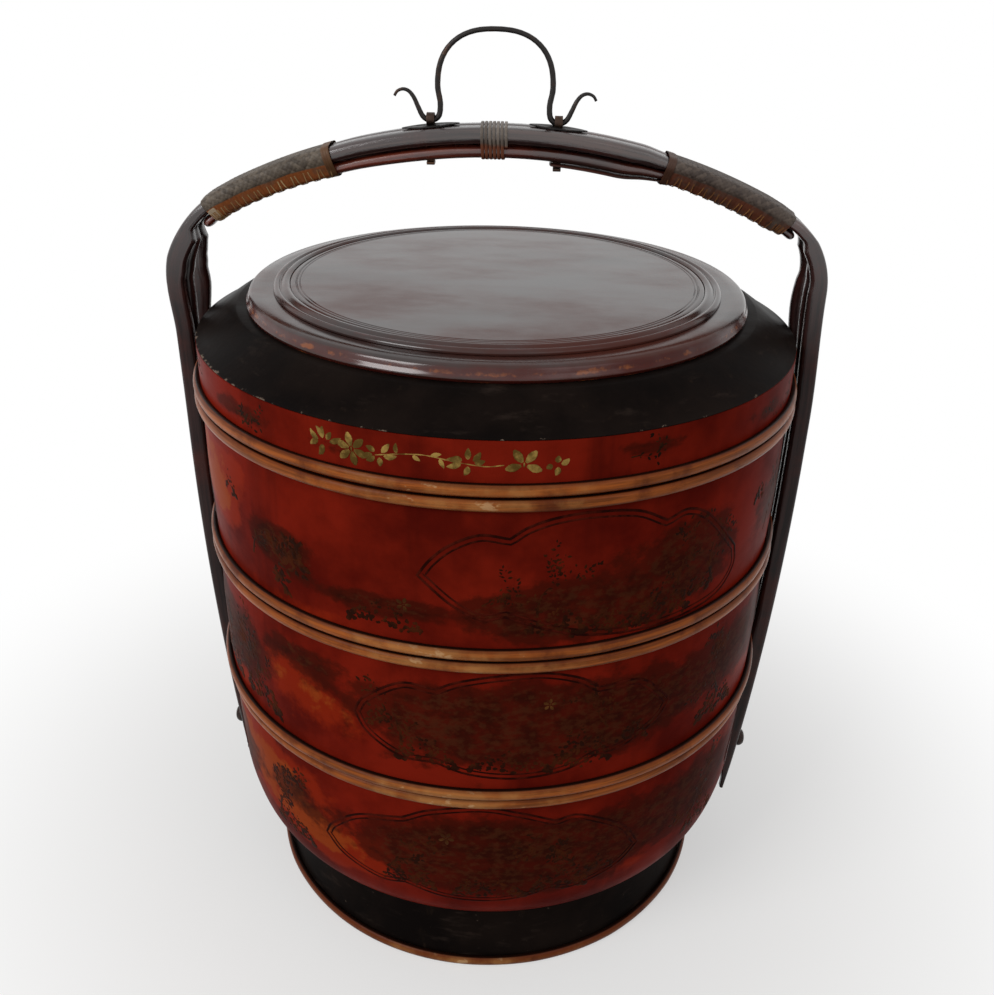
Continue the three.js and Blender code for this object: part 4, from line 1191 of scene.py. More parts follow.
def depth_at(mark, hand):
    """A stave's depth: thin at its tail, fuller at the shoulder, and cut away where the rod is seated."""
    notched = NOTCH_DEPTH[hand] + (BAR_STAVE_DEPTH - NOTCH_DEPTH[hand]) * rising(mark, *NOTCH_FADES[hand])
    tail = 0.25 + 0.75 * ease(mark / 0.11)
    full = (STAVE_DEPTH + (SHOULDER_DEPTH[hand] - STAVE_DEPTH) * rising(mark, 0.96, 0.2)) * tail
    return full + (notched - full) * min(1, max(0, (mark - NOTCH_ENDS + 0.1) / 0.1))


def rod_depth_at(mark, hand):
    """The grip rod's depth, which is pared down towards its end."""
    return ROD_DEPTH - ROD_TAPER[hand] * (1 - rising(mark, *ROD_TAPERS[hand]))


def core_width_at(mark):
    """The core stave's width, which narrows to a tongue in the seam of the bar."""
    return CORE_WIDTH * (1 - 0.72 * rising(mark, 1.2, 0.9))


def bow_at(height, hand, side):
    """How far an outer stave bows away from the core below the shoulder."""
    away = abs(height - BOW_HEIGHT) / BOW_SPREAD
    return STAVES_BOW[hand][side > 0] * math.cos(away * math.pi / 2) ** 2 if away < 1 else 0


def fan_at(height, hand):
    """How far the rear stave fans inwards at the shoulder."""
    return STAVES_FAN[hand] * rising(height, *FAN_RISES) * (1 - rising(height, *FAN_CLOSES))


def rounded_box(width, depth, across, outward, sides=22, squareness=0.62, groove=0.0):
    """A rounded box section about a middle; a groove can run along its outer face."""
    corners = []
    for c, s in circle(sides, 0.5):
        a = math.copysign(abs(c) ** squareness, c) * width / 2
        o = math.copysign(abs(s) ** squareness, s) * depth / 2
        o -= groove * bell(a, width * 0.14) if s > 0 else 0
        corners.append((across + a, outward + o))
    return corners


def crowned(across):
    """How far the bar's rounded top lies below its middle line."""
    return BAR_CROWN * (across / BAR_CROWN_HALF) ** 2


def stave_section(mark, side, hand):
    """An outer stave's section: the front one on the side -1, the rear one on the side 1."""
    core = 0 if mark > CORE_ENDS + 0.01 else core_width_at(mark)
    seam = core / 2 + PLAY if core > 0 else PLAY
    share = bar_share(mark)
    bar_width = BAR_STAVE_WIDTH - (seam - PLAY)
    width = (STAVE_WIDTH + (bar_width - STAVE_WIDTH) * share) * (0.7 + 0.3 * ease(mark / 0.09))
    height = outline_point(mark, hand)[0].y
    depth = depth_at(mark, hand)
    middle = side * (seam + width / 2 + bow_at(height, hand, side))
    inward = fan_at(height, hand) if side > 0 else 0
    groove = 0.5 * (1 - share) + 0.28 * share * rising(mark, 2.3, 0.2)
    section = rounded_box(width, depth, middle, -depth / 2 - inward, groove=groove)
    return [(a, o - (share * crowned(a) if o > -depth / 2 - inward else 0)) for a, o in section]


def rod_section(mark, hand, scale=1.0):
    """The grip rod's section under the staves."""
    depth = rod_depth_at(mark, hand)
    return rounded_box(ROD_WIDTH * scale, depth * scale, 0, -depth_at(mark, hand) - PLAY - depth / 2, 24, 0.8)


def splint_section(mark, scale=1.0):
    """The splint's section under the right half of the rod."""
    depth = SPLINT_DEPTH - SPLINT_TAPER * (1 - rising(mark, *ROD_TAPERS["right"]))
    middle = -depth_at(mark, "right") - 2 * PLAY - 0.1 - rod_depth_at(mark, "right") - depth / 2
    return rounded_box(SPLINT_WIDTH * scale, depth * scale, 0, middle, 20, 0.7)


def marks(start, end, steps):
    """Marks spaced evenly from a start to an end."""
    return [start + (end - start) * k / steps for k in range(steps + 1)]


def wrapped(sections, margin, sides):
    """A taut wrapping round sections: the polygon of the lines that touch them, moved out by a margin."""
    corners = [corner for section in sections for corner in section]
    lines = [(c, s, margin + max(a * c + o * s for a, o in corners)) for c, s in circle(sides, 0.5)]
    ring = []
    for k in range(sides):
        (a, b, p), (c, d, q) = lines[k], lines[(k + 1) % sides]
        across = a * d - b * c
        ring.append(((p * d - q * b) / across, (a * q - c * p) / across))
    return ring


def bar_sections(mark, hand):
    """The sections of all that the sleeves and the lashing are wound round."""
    sections = [stave_section(mark, -1, hand), stave_section(mark, 1, hand), rod_section(mark, hand)]
    return [*sections, splint_section(mark)] if hand == "right" and 2 <= mark < SPLINT_ENDS else sections


def evenly(ring, count):
    """Points spaced evenly round a ring, from its middle below on."""
    ring = [Vector(point) for point in ring]
    lengths = [0.0]
    for k in range(len(ring)):
        lengths.append(lengths[-1] + (ring[(k + 1) % len(ring)] - ring[k]).length)
    points, k = [], 0
    for i in range(count):
        goal = lengths[-1] * i / count
        while lengths[k + 1] < goal:
            k += 1
        share = (goal - lengths[k]) / max(1e-9, lengths[k + 1] - lengths[k])
        points.append(ring[k].lerp(ring[(k + 1) % len(ring)], share))
    return points, lengths[-1]


def between_staves(piece):
    """Paints shade on the faces of a stave that look at its neighbours, and on its underside."""
    def level(point):
        side = abs(point.y)
        on_bar = rising(point.z, 500, 30)
        return 0.9 * ((1 - rising(side, 4.2, 2.2)) * (1 - on_bar) + (1 - ease(side / 1.3)) * on_bar)

    painted(piece, "shade_and_dark_tone", level)


def polished(piece):
    """Paints how far hands have polished a stave: fully along the bar, not at all down the uprights."""
    painted(piece, "handled", lambda point: rising(point.z, 400, 110))


class BASKET_OT_staves(bpy.types.Operator):
    """Bends the bamboo staves of the handle"""

    bl_idname = "basket.staves"
    bl_label = "Bamboo staves"

    def execute(self, context):
        bamboo = smoked_bamboo("smoked bamboo", "1b1110", "3a2422", "4a221b", 0.16, 0.34)
        run = [*marks(0, 0.97, 84), *marks(0.985, 1.98, 44), *marks(2, 2.99, 84)]
        for name, side in (("front_stave", -1), ("rear_stave", 1)):
            up = [placed(mark, "right", stave_section(mark, side, "right")) for mark in [*run, 3]]
            down = [placed(mark, "left", stave_section(mark, side, "left")) for mark in reversed(run)]
            piece = skinned(name, [(up + down, False)])
            between_staves(piece)
            polished(piece)
            dressed(piece, bamboo, "handle", "bamboo", name)
        for hand in ("left", "right"):
            rings = [self.core_ring(mark, hand) for mark in run if 0.03 <= mark <= CORE_ENDS]
            piece = skinned(f"{hand}_core_stave", [(rings, False)])
            # Painted shade on the core stave's sides, where they face the outer staves.
            painted(piece, "shade_and_dark_tone", lambda point: 0.75 * rising(abs(point.y), 2.6, 1.6))
            polished(piece)
            dressed(piece, bamboo, "handle", "bamboo", f"{hand}_core_stave")
        return {"FINISHED"}

    def core_ring(self, mark, hand):
        """The core stave's section, sunk a little between its neighbours where it ends as a tongue."""
        share = bar_share(mark)
        depth = (depth_at(mark, hand) - 1.2 * share) * (1 - TONGUE_PARED[hand] * rising(mark, 1.15, 0.4))
        width = core_width_at(mark) * (0.75 + 0.25 * ease(mark / 0.09))
        inward = 0.3 * share + fan_at(outline_point(mark, hand)[0].y, hand) / 2
        return placed(mark, hand, rounded_box(width, depth, 0, -depth / 2 - inward, groove=0.25))


class BASKET_OT_grip(bpy.types.Operator):
    """Shapes the grip rod under the bar and the splint under its right half"""

    bl_idname = "basket.grip"
    bl_label = "Grip rod"

    def execute(self, context):
        reddened = smoked_bamboo("reddened bamboo", "4a1a12", "7a3420", "33130d", 0.24, 0.42)
        middle = placed(3, "right", rod_section(3, "right"))
        rings = [*self.half_rod("right"), middle, *reversed(self.half_rod("left"))]
        piece = skinned("grip_rod", [(rings, False)])
        # The rod is painted darker to the right of the middle.
        painted(piece, "shade_and_dark_tone", lambda point: 0.72 * rising(point.x, 2, 26))
        polished(piece)
        dressed(piece, reddened, "handle", "grip_wood", "grip_rod")

        splint = smoked_bamboo("dark bamboo splint", "20110e", "3d1d17", "4e2419", 0.24, 0.42)
        rings = [placed(SPLINT_ENDS - 0.002 * k, "right", splint_section(SPLINT_ENDS - 0.002 * k, scale))
                 for k, scale in enumerate((0.4, 0.7, 0.88, 0.96))]
        rings += [placed(mark, "right", splint_section(mark)) for mark in marks(SPLINT_ENDS - 0.01, 2, 66)]
        piece = skinned("under_splint", [(rings, False)])
        painted(piece, "shade_and_dark_tone", lambda point: 0.0)
        dressed(piece, splint, "handle", "bamboo", "under_splint")
        return {"FINISHED"}

    def half_rod(self, hand):
        """Rings of the rod from its rounded end to the middle; it is a little knotty outside the sleeve."""
        rings = []
        for k, scale in enumerate((0.35, 0.66, 0.84, 0.94)):
            mark = ROD_ENDS + 0.06 * k / 4
            rings.append(placed(mark, hand, rod_section(mark, hand, scale)))
        for mark in [*marks(ROD_ENDS + 0.06, 2, 10), *marks(2.012, 2.99, 80)]:
            scale = 1 + 0.02 * math.sin(mark * 47) * (1 - rising(mark, 2.38, 0.1))
            rings.append(placed(mark, hand, rod_section(mark, hand, scale)))
        return rings


class BASKET_OT_sleeves(bpy.types.Operator):
    """Weaves the split-rattan sleeves round the two grips and laces them below"""

    bl_idname = "basket.sleeves"
    bl_label = "Woven sleeves"

    def execute(self, context):
        strand = context.scene.basket.strand_width / MM
        tones = {"left": ("dusty", ("33291f", "6c6053", "9a5527"), ("5e3920", "ac8050", "cdae7e")),
                 "right": ("browned", ("2c211b", "5f5249", "61301b"), ("43271a", "74492a", "936438"))}
        for hand, (look, woven, laced) in tones.items():
            piece = self.weave(hand, strand)
            dressed(piece, split_rattan(f"{look} split rattan", *woven), "handle", "rattan", f"{hand}_sleeve")
            piece = self.lace(hand)
            dressed(piece, split_rattan(f"{hand} lacing", *laced), "handle", "rattan")
        return {"FINISHED"}

    def crossing(self, u, v, tones, count):
        """Rise and tone of the upper strand at a place counted in strands round and along the sleeve."""
        first, second = u + v, u - v
        a, b = math.floor(first), math.floor(second)
        fa, fb = first - a - 0.5, second - b - 0.5
        over = 1 if (a + b) % 2 == 0 else -1
        rise_a = 0.5 * math.sqrt(max(0, 1 - (2 * fa) ** 4)) + 0.5 * over * math.cos(math.pi * fb)
        rise_b = 0.5 * math.sqrt(max(0, 1 - (2 * fb) ** 4)) - 0.5 * over * math.cos(math.pi * fa)
        return max(rise_a, rise_b), tones[a % count if rise_a > rise_b else 200 + b % count]

    def weave(self, hand, strand):
        """Sleeve whose skin rises and falls as strands that cross over and under each other aslant.

        Along its underside the strands are wound side by side instead. There they are worn a little, and on
        the left sleeve they are worn pale near its outer end."""
        around, along = 132, 216
        girth = evenly(wrapped(bar_sections(2.2, hand), SLEEVE_GAP, 40), around)[1]
        count = 2 * round(girth / strand / math.sqrt(2) / 2)
        pitch = girth / count
        chance = random.Random(3)
        tones = [chance.uniform(0.1, 1) for _ in range(400)]
        outer, inner, levels, travel, before = [], [], [], 0.0, None
        for mark in marks(SLEEVE_ENDS, SLEEVE_STARTS, along):
            place = outline_point(mark, hand)[0]
            travel += (place - before).length if before else 0
            before = place
            skin = evenly(wrapped(bar_sections(mark, hand), SLEEVE_GAP, 40), around)[0]
            low = min(point[1] for point in skin)
            fade = ease(min(mark - SLEEVE_ENDS, SLEEVE_STARTS - mark) / 0.006)
            plain = 0.62 + 0.3 * abs(math.sin(math.pi * travel / WINDING_PITCH))
            plain_tone = tones[int(travel / WINDING_PITCH) % 90]
            worn = 0.42 + bell(mark - SLEEVE_ENDS - 0.05, 0.05) if hand == "left" else 0.3
            ring = []
            for k, point in enumerate(skin):
                woven = rising(point[1] - low, *WEAVE_STARTS)
                rise, tone = self.crossing(k / around * count, travel / pitch, tones, count)
                rise = rise * woven + plain * (1 - woven)
                # Painted shade: darker where a strand dips under its neighbour and in the grooves between
                # wound turns.
                shade_and_dark_tone = ease((0.5 - rise) / 0.36) * woven + 0.5 * ease((0.66 - plain) / 0.06) * (1 - woven)
                levels.append((tone * woven + plain_tone * (1 - woven), shade_and_dark_tone, (1 - woven) * worn))
                out = (point - Vector((0, low / 2))).normalized()
                ring.append(point + out * SLEEVE_WALL * (0.25 + 0.75 * rise * fade))
            outer.append(placed(mark, hand, ring))
            inner.append(placed(mark, hand, skin))
        piece = skinned(f"{hand}_sleeve", [(outer + inner[::-1], True)], 80)
        # The sleeve's inside gets near-black painted shade.
        levels += [(0.2, 0.8, 0.0)] * (around * len(inner))
        for name, values in zip(("strand", "shade_and_dark_tone", "rubbed"), zip(*levels)):
            layered(piece, name, values)
        return piece

    def lace(self, hand):
        """Thin lacing that crosses under the grip, and the binding at the sleeve's inner end."""
        skins = []
        chance = random.Random(7 if hand == "left" else 8)
        for start in marks(SLEEVE_ENDS + 0.03, SLEEVE_STARTS - 0.03, 11):
            for lean in (-1, 1):
                slant = lean * chance.uniform(0.012, 0.02)
                skins.append((self.strand_round(hand, start, slant, 0.6, 0.4, 0.4), False))
        for k in range(3):
            skins.append((self.strand_round(hand, SLEEVE_STARTS - 0.0085 * k, 0.0, 0.5, 1.0, 1.0), True))
        piece = skinned(f"{hand}_lacing", skins, 60)
        laced = STRAND_SIDES * sum(len(rings) for rings, joined in skins if not joined)
        bound = len(piece.data.vertices) - laced
        for name, over, end in (("strand", 0.7, 0.25), ("shade_and_dark_tone", 0.0, 0.42), ("rubbed", 0.25, -0.5)):
            layered(piece, name, [over] * laced + [end] * bound)
        return piece

    def strand_round(self, hand, start, slant, thickness, width, share):
        """Rings of a strand laid round the bar: all the way, or the share of it that lies below."""
        steps, around = 40, 120
        rings = []
        whole = share == 1.0
        for i in range(steps if whole else steps + 1):
            t = i / steps
            mark = start + slant * math.sin(math.pi * (t - 0.5))
            skin = evenly(wrapped(bar_sections(mark, hand), SLEEVE_GAP + SLEEVE_WALL - 0.1, 40), around)[0]
            bottom = min(range(around), key=lambda k: skin[k][1] + abs(skin[k][0]) * 0.02)
            where = bottom + around * (t if whole else (t - 0.5) * share)
            k = math.floor(where)
            spot = skin[k % around].lerp(skin[(k + 1) % around], where - k)
            out = (spot - Vector((0, min(point[1] for point in skin) / 2))).normalized()
            lift = thickness if whole else thickness * min(1, 6 * min(t, 1 - t) + 0.1)
            place, up = outline_point(mark, hand)
            along = Vector((up.y, 0, -up.x)) * (1 if hand == "right" else -1)
            turns = circle(STRAND_SIDES)
            section = laid(place, up, [spot + out * (lift * 0.5 * (1 + s)) for c, s in turns])
            rings.append([point + along * (c * width) for point, (c, s) in zip(section, turns)])
        return rings


class BASKET_OT_lashing(bpy.types.Operator):
    """Winds the rattan lashing round the middle of the bar"""

    bl_idname = "basket.lashing"
    bl_label = "Centre lashing"

    def execute(self, context):
        steps = 48
        start = -FITTINGS_SET_LEFT - LASHING_TURNS * LASHING_PITCH / 2
        skin = evenly(wrapped(bar_sections(3, "left"), LASHING_GAP, 48), steps)[0]
        middle = Vector((0, min(point[1] for point in skin) / 2))
        rings = []
        for i in range(round(LASHING_TURNS * steps) + 1):
            x = start + i / steps * LASHING_PITCH
            top = ARCH_CENTRE_HEIGHT + math.sqrt(ARCH_RADIUS ** 2 - x ** 2)
            spot = skin[i % steps]
            out = (spot - middle).normalized()
            ring = []
            for c, s in circle(8, 0.5):
                side = math.copysign(abs(c) ** 0.6, c) * LASHING_STRIP / 2
                point = spot + out * LASHING_THICKNESS * (0.5 + 0.5 * math.copysign(abs(s) ** 0.8, s))
                ring.append(Vector((x + side, point[0], top + point[1])))
            rings.append(ring)
        piece = skinned("centre_lashing", [(rings, False)], 50)
        chance = random.Random(6)
        tones = [chance.uniform(0.2, 0.95) for _ in range(12)]
        painted(piece, "strand", lambda point: tones[int((point.x + 20) / LASHING_PITCH) % 12])
        painted(piece, "shade_and_dark_tone", lambda point: 0.0)
        painted(piece, "rubbed", lambda point: 0.62 * ease((544 - point.z) / 6))
        material = split_rattan("weathered lashing", "4a4039", "857a70", "79432a")
        dressed(piece, material, "handle", "rattan", "centre_lashing")
        return {"FINISHED"}


class BASKET_OT_pegs(bpy.types.Operator):
    """Turns the two pivot pegs"""

    bl_idname = "basket.pegs"
    bl_label = "Pivot pegs"

    def execute(self, context):
        wood = smoked_bamboo("dark peg wood", "1a0f0c", "36201a", "452318", 0.26, 0.44)
        low, top = PEG_REACH - PEG_HEAD_THICKNESS, PEG_REACH
        head = curved([(PEG_HEAD - 0.5, low), (PEG_HEAD, low + 1), (PEG_HEAD - 0.1, top - 3.6),
                       (PEG_HEAD * 0.78, top - 1.4), (PEG_HEAD * 0.4, top - 0.3), (0, top)], 4)
        profile = [(0, PEG_START), (PEG_COLLAR - 0.6, PEG_START), (PEG_COLLAR, PEG_START + 0.6),
                   (PEG_COLLAR, PEG_START + 3), (PEG_SHANK, PEG_START + 3), (PEG_SHANK, low), *head]
        for hand, sign in SIDES:
            piece = spun(f"{hand}_peg", profile, steps=48)
            turn = Matrix.Translation((0, 0, PEG_HEIGHT * MM)) @ Matrix.Rotation(sign * math.pi / 2, 4, "Y")
            piece.data.transform(turn)
            flat = piece.data.uv_layers.new(name="fibre")
            corners = [piece.data.vertices[loop.vertex_index].co for loop in piece.data.loops]
            flat.data.foreach_set("uv", [value for co in corners for value in (co.y, co.z)])
            painted(piece, "shade_and_dark_tone", lambda point: 0.0)
            dressed(piece, wood, "base", "bamboo", f"{hand}_peg")
        return {"FINISHED"}


# Iron fittings

def eye_place(sign):
    """How far to the right of the basket's middle an eye stands."""
    return sign * EYE_SPACING / 2 - FITTINGS_SET_LEFT


class BASKET_OT_leaf_plates(bpy.types.Operator):
    """Forges the pointed plates under the eyes"""

    bl_idname = "basket.leaf_plates"
    bl_label = "Leaf plates"

    def execute(self, context):
        iron = wrought_iron("blackened leaf iron", "191615", "3d2a20", 0.56)
        for hand, sign in SIDES:
            middle = math.asin(eye_place(sign) / ARCH_RADIUS)
            rings = []
            for i in range(33):
                along = i / 32 * 2 - 1
                turn = middle + along * LEAF_REACH / ARCH_RADIUS
                out = Vector((math.sin(turn), math.cos(turn)))
                place = Vector((0, ARCH_CENTRE_HEIGHT)) + out * ARCH_RADIUS
                rings.append(laid(place, out, self.section(along)))
            piece = skinned(f"{hand}_leaf_plate", [(rings, False)], 40)
            dressed(piece, iron, "handle", "iron", f"{hand}_leaf_plate")
        return {"FINISHED"}

    def section(self, along):
        """The plate's section on the bar's crown, with its rib; its points are along at -1 and at 1."""
        half = 0.35 + LEAF_HALF_WIDTH * (1 - abs(along) ** 1.6) ** 0.8
        under = [(k / 5 - 1) * half for k in range(11)]
        over = [(1 - k / 5) * half * 0.96 for k in range(11)]
        rib = 0.45 * (1 - along * along)
        return [*((a, PLAY - crowned(a)) for a in under),
                *((a, PLAY - crowned(a) + LEAF_THICKNESS + rib * bell(a, 0.9)) for a in over)]


class BASKET_OT_eyes(bpy.types.Operator):
    """Loops the strap eyes and clenches their legs under the bar"""

    bl_idname = "basket.eyes"
    bl_label = "Strap eyes"

    def execute(self, context):
        iron = wrought_iron("brown iron strap", "3a2c25", "6b4a35", 0.48)
        bevel = 0.3
        settings = {"dimensions": "2D", "fill_mode": "BOTH", "extrude": (EYE_WIDTH / 2 - bevel) * MM,
                    "bevel_depth": bevel * MM, "bevel_resolution": 2, "offset": -bevel * MM}
        bore = [(EYE_BORE * c, -EYE_BORE * s) for c, s in circle(40)]
        stood = Matrix.Rotation(math.pi / 2, 4, "Z") @ Matrix.Rotation(math.pi / 2, 4, "X")
        for hand, sign in SIDES:
            loops = [[(across * MM, up * MM, 0) for across, up in loop]
                     for loop in (self.strap(EYE_CLINCH[hand]), bore)]
            piece = drawn(f"{hand}_eye", [(loop, [1] * len(loop), True) for loop in loops], settings)
            piece.data.transform(Matrix.Translation(Vector((eye_place(sign), 0, EYE_HEIGHT)) * MM) @ stood)
            turned_out(0.000005)
            smoothed(piece, 40)
            dressed(piece, iron, "handle", "iron", f"{hand}_eye")
        return {"FINISHED"}

    def strap(self, clinch):
        """The strap's outline (across, up): its loop, and legs that are bent out where they are clenched."""
        half, rim = EYE_SHANK / 2, EYE_BORE + EYE_STRAP
        start = -math.pi / 2 + math.asin(half / rim)
        sweep = 2 * math.pi - 2 * math.asin(half / rim)
        turns = [start + sweep * k / 40 for k in range(41)]
        loop = [(rim * math.cos(turn), rim * math.sin(turn)) for turn in turns]
        leg = [(half, clinch), (half + 2.4, clinch - 0.4), (half + 2.6, clinch - 1.4),
               (half + 1.4, clinch - 2.2)]
        return [*loop, *((-across, up) for across, up in leg), *reversed(leg)]


def centripetal(points, steps):
    """A centripetal curve through points, as an even bend of wire takes, with so many steps in all."""
    ends = [2 * points[0] - points[1], *points, 2 * points[-1] - points[-2]]
    line = []
    for i in range(steps + 1):
        share = i / steps * (len(points) - 1)
        k = min(int(share), len(points) - 2)
        t = share - k
        p0, p1, p2, p3 = ends[k:k + 4]
        d0, d1, d2 = ((b - a).length ** 0.5 for a, b in ((p0, p1), (p1, p2), (p2, p3)))
        t1 = ((p1 - p0) / d0 - (p2 - p0) / (d0 + d1) + (p2 - p1) / d1) * d1
        t2 = ((p2 - p1) / d1 - (p3 - p1) / (d1 + d2) + (p3 - p2) / d2) * d1
        square = (-3 * p1 + 3 * p2 - 2 * t1 - t2) * t * t
        cube = (2 * p1 - 2 * p2 + t1 + t2) * t ** 3
        line.append(p1 + t1 * t + square + cube)
    return line


class BASKET_OT_bail(bpy.types.Operator):
    """Bends the bail from one iron wire with curled ends"""

    bl_idname = "basket.bail"
    bl_label = "Bail"

    def execute(self, context):
        steps = 264
        line = centripetal(self.bends(), steps)
        rings = []
        for i, point in enumerate(line):
            along = (line[min(i + 1, steps)] - line[max(i - 1, 0)]).normalized()
            near = min(i / steps, 1 - i / steps)
            size = 2 * BAIL_WIRE * (0.5 + 0.5 * ease(near / 0.25)) * (1 - 0.14 * rising(near, 0.34, 0.12))
            size *= 1 + 0.02 * math.sin(i * 1.7)
            rings.append(laid(point, Vector((-along.y, along.x)), rounded_box(size, size, 0, 0, 14, 1)))
        piece = skinned("bail", [(rings, False)], 60)
        dressed(piece, wrought_iron("wrought iron wire", "2b2827", "50392c", 0.54), "bail", "iron", "bail")
        return {"FINISHED"}

    def bends(self):
        """Points (x, z) that the wire is bent through, from its left end over the top to its right end."""
        from_eye = ((22.2, 13), (20.4, 15.6), (17, 16.9), (13.6, 16), (10.5, 12.6), (7.6, 6.6), (4.9, 1.6),
                    (2.2, -0.2), (-2.2, -0.2), (-5.1, 2.2))
        end = [(EYE_SPACING / 2 + across, EYE_HEIGHT + up) for across, up in from_eye]
        end.append((BAIL_HALF_WIDTH - 1.6, EYE_HEIGHT + 9))
        rise = BAIL_TOP - 1.5 - BAIL_SHOULDERS
        arch = []
        for i in range(11):
            c, s = math.cos(math.pi * i / 10), math.sin(math.pi * i / 10)
            across = -BAIL_HALF_WIDTH * math.copysign(abs(c) ** BAIL_ROUNDNESS, c)
            arch.append((across, BAIL_SHOULDERS + rise * abs(s) ** BAIL_ROUNDNESS))
        bends = [*((-x, z) for x, z in end), *arch, *reversed(end)]
        return [Vector((x - FITTINGS_SET_LEFT, z)) for x, z in bends]


def dress(names, material):
    """Gives CAD nodes their material."""
    for name in names:
        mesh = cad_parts[name].data
        mesh.materials.clear()
        mesh.materials.append(material)


class BASKET_OT_boards(bpy.types.Operator):
    """Finishes the boards inside the tiers"""

    bl_idname = "basket.boards"
    bl_label = "Boards"

    def execute(self, context):
        dress(["bowl_board", "middle_board", "upper_board"], bare_cedar())
        return {"FINISHED"}


def seen_rays(owner):
    """Socket that is 1 for the rays of the camera, gloss and glass, and 0 for those that light the basket."""
    rays = add_node(owner, "ShaderNodeLightPath").outputs
    seen = rays["Is Camera Ray"]
    for kind in ("Is Glossy Ray", "Is Transmission Ray"):
        either = add_node(owner, "ShaderNodeMath", {"operation": "MAXIMUM"}, {0: seen, 1: rays[kind]})
        seen = either.outputs[0]
    return seen


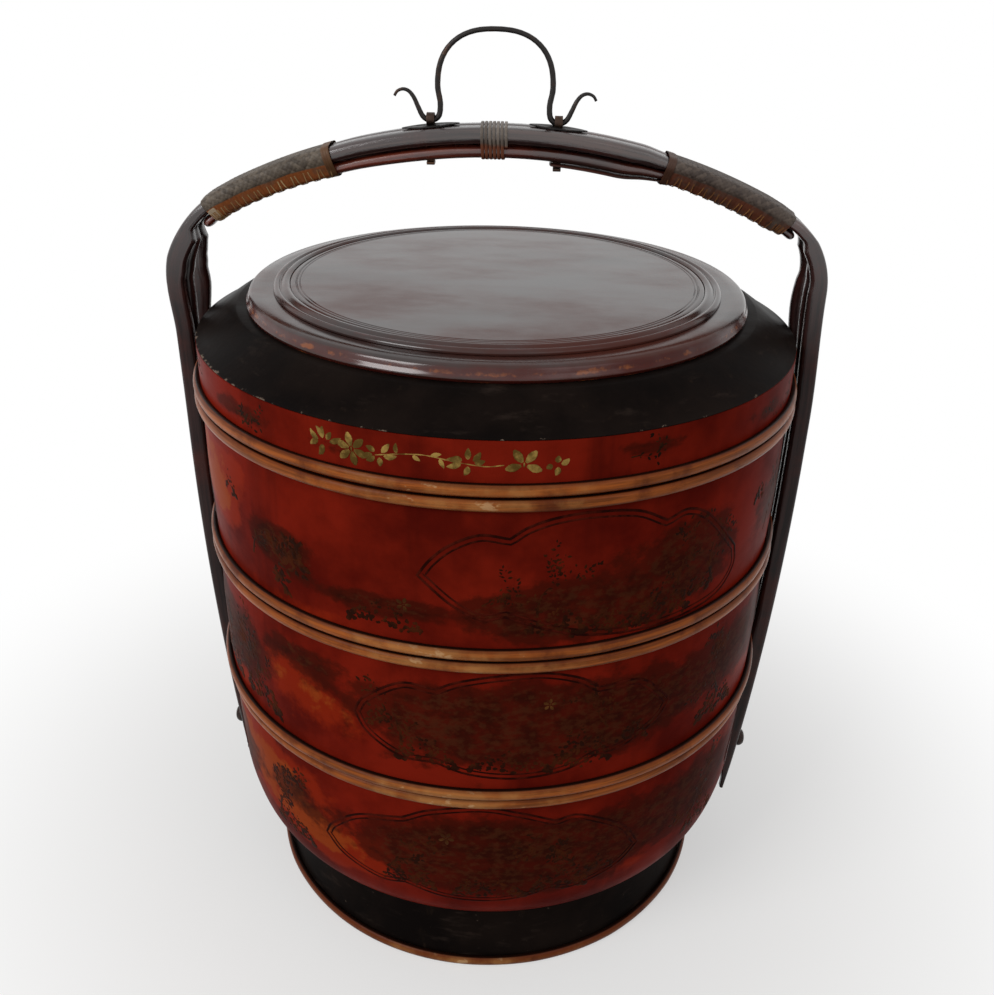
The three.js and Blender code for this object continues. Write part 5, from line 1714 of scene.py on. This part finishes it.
class BASKET_OT_stage(bpy.types.Operator):
    """Lays the pale floor and sets the lights and the camera"""

    bl_idname = "basket.stage"
    bl_label = "Stage"

    def execute(self, context):
        self.floor(context)
        self.room(context)
        self.lamps(context)
        self.camera(context)
        context.scene.view_settings.view_transform = "Standard"
        return {"FINISHED"}

    def floor(self, context):
        """What the camera and the gloss see is a white sheet that keeps the basket's shadow and fades to
        plain white away from it. What lights the basket from below is the grey of the room's real floor."""
        bpy.ops.object.select_all(action="DESELECT")
        bpy.ops.mesh.primitive_plane_add(size=30, location=(0, 0, -0.0002))
        floor = context.object
        floor.name = "floor"
        material = bpy.data.materials.new("matt white floor")
        material.use_nodes = True
        material.node_tree.nodes.clear()
        grey = add_node(material, "ShaderNodeBsdfDiffuse", {"Color": linear("8e8c88")})
        paper = add_node(material, "ShaderNodeBsdfDiffuse", {"Color": linear("f4f3f1")})
        glow = add_node(material, "ShaderNodeEmission", {"Color": WHITE, "Strength": 1.0})
        place = add_node(material, "ShaderNodeTexCoord").outputs["Object"]
        away = add_node(material, "ShaderNodeVectorMath", {"operation": "LENGTH"}, {0: place})
        fade = add_node(material, "ShaderNodeMapRange",
                        {"interpolation_type": "SMOOTHSTEP", "From Min": 0.2, "From Max": 0.62,
                         "To Min": 0.45, "To Max": 1.0}, {"Value": away.outputs["Value"]})
        sheet = add_node(material, "ShaderNodeMixShader", links={
            0: fade.outputs["Result"], 1: paper.outputs["BSDF"], 2: glow.outputs["Emission"]})
        ground = add_node(material, "ShaderNodeMixShader", links={
            0: seen_rays(material), 1: grey.outputs["BSDF"], 2: sheet.outputs["Shader"]})
        add_node(material, "ShaderNodeOutputMaterial", links={"Surface": ground.outputs["Shader"]})
        floor.data.materials.append(material)

    def room(self, context):
        """The camera and the gloss see white all round. The light that the room gives is half of that."""
        world = context.scene.world or bpy.data.worlds.new("studio")
        context.scene.world = world
        world.use_nodes = True
        world.node_tree.nodes.clear()
        dim = add_node(world, "ShaderNodeBackground", {"Color": WHITE, "Strength": 0.5})
        white = add_node(world, "ShaderNodeBackground", {"Color": WHITE, "Strength": 1.0})
        shown = add_node(world, "ShaderNodeMixShader", links={
            0: seen_rays(world), 1: dim.outputs["Background"], 2: white.outputs["Background"]})
        add_node(world, "ShaderNodeOutputWorld", links={"Surface": shown.outputs["Shader"]})

    def lamps(self, context):
        """A window on the left and a soft fill on the right, both turned to the middle of the basket."""
        target = Vector((0, 0, 0.3))
        for name, spot, size, power in (("window on the left", (-1.7, -1.7, 1.7), 1.2, 30),
                                        ("soft fill", (1.6, -1.8, 1.9), 1.6, 7)):
            lamp = bpy.data.lights.new(name, "AREA")
            lamp.shape = "SQUARE"
            lamp.size = size
            lamp.energy = power
            holder = bpy.data.objects.new(name, lamp)
            context.scene.collection.objects.link(holder)
            holder.location = spot
            holder.rotation_euler = (target - Vector(spot)).to_track_quat("-Z", "Y").to_euler()

    def camera(self, context):
        """The photograph's camera."""
        camera = bpy.data.cameras.new("camera")
        camera.sensor_width = CAMERA_SENSOR
        camera.lens = CAMERA_LENS
        holder = bpy.data.objects.new("camera", camera)
        context.scene.collection.objects.link(holder)
        pitch, yaw, roll = math.radians(CAMERA_PITCH), math.radians(CAMERA_YAW), math.radians(CAMERA_ROLL)
        ahead = Vector((math.sin(yaw) * math.cos(pitch), math.cos(yaw) * math.cos(pitch), -math.sin(pitch)))
        right = ahead.cross(Vector((0, 0, 1))).normalized()
        up = right.cross(ahead)
        across = right * math.cos(roll) + up * math.sin(roll)
        upward = up * math.cos(roll) - right * math.sin(roll)
        turn = Matrix((across, upward, -ahead)).transposed()
        holder.matrix_world = Matrix.Translation(Vector(CAMERA_PLACE)) @ turn.to_4x4()
        context.scene.camera = holder


class BASKET_PT_panel(bpy.types.Panel):
    """The basket's settings and pieces, in the 3D view's sidebar"""

    bl_label = "Wedding basket"
    bl_idname = "BASKET_PT_panel"
    bl_space_type = "VIEW_3D"
    bl_region_type = "UI"
    bl_category = "Basket"

    def draw(self, context):
        for name in ("red_lacquer", "cane", "line_width", "relief", "strand_width"):
            self.layout.prop(context.scene.basket, name)
        for name in OPERATORS:
            self.layout.operator(name)


CLASSES = (BasketSettings, BASKET_OT_tiers, BASKET_OT_lid, BASKET_OT_foot, BASKET_OT_hoops, BASKET_OT_frames,
           BASKET_OT_painting, BASKET_OT_gilding, BASKET_OT_staves, BASKET_OT_grip, BASKET_OT_sleeves,
           BASKET_OT_lashing, BASKET_OT_pegs, BASKET_OT_leaf_plates, BASKET_OT_eyes, BASKET_OT_bail,
           BASKET_OT_boards, BASKET_OT_stage, BASKET_PT_panel)
OPERATORS = tuple(cls.bl_idname for cls in CLASSES if issubclass(cls, bpy.types.Operator))


def register():
    """Registers the settings, the operators and the panel."""
    for cls in CLASSES:
        bpy.utils.register_class(cls)
    bpy.types.Scene.basket = bpy.props.PointerProperty(type=BasketSettings)


def unregister():
    """Takes away what register added."""
    del bpy.types.Scene.basket
    for cls in reversed(CLASSES):
        bpy.utils.unregister_class(cls)


def main():
    """Makes the basket on its stage, one operator after another."""
    register()
    for name in OPERATORS:
        group, operator = name.split(".")
        getattr(getattr(bpy.ops, group), operator)()


if __name__ == "__main__":
    main()
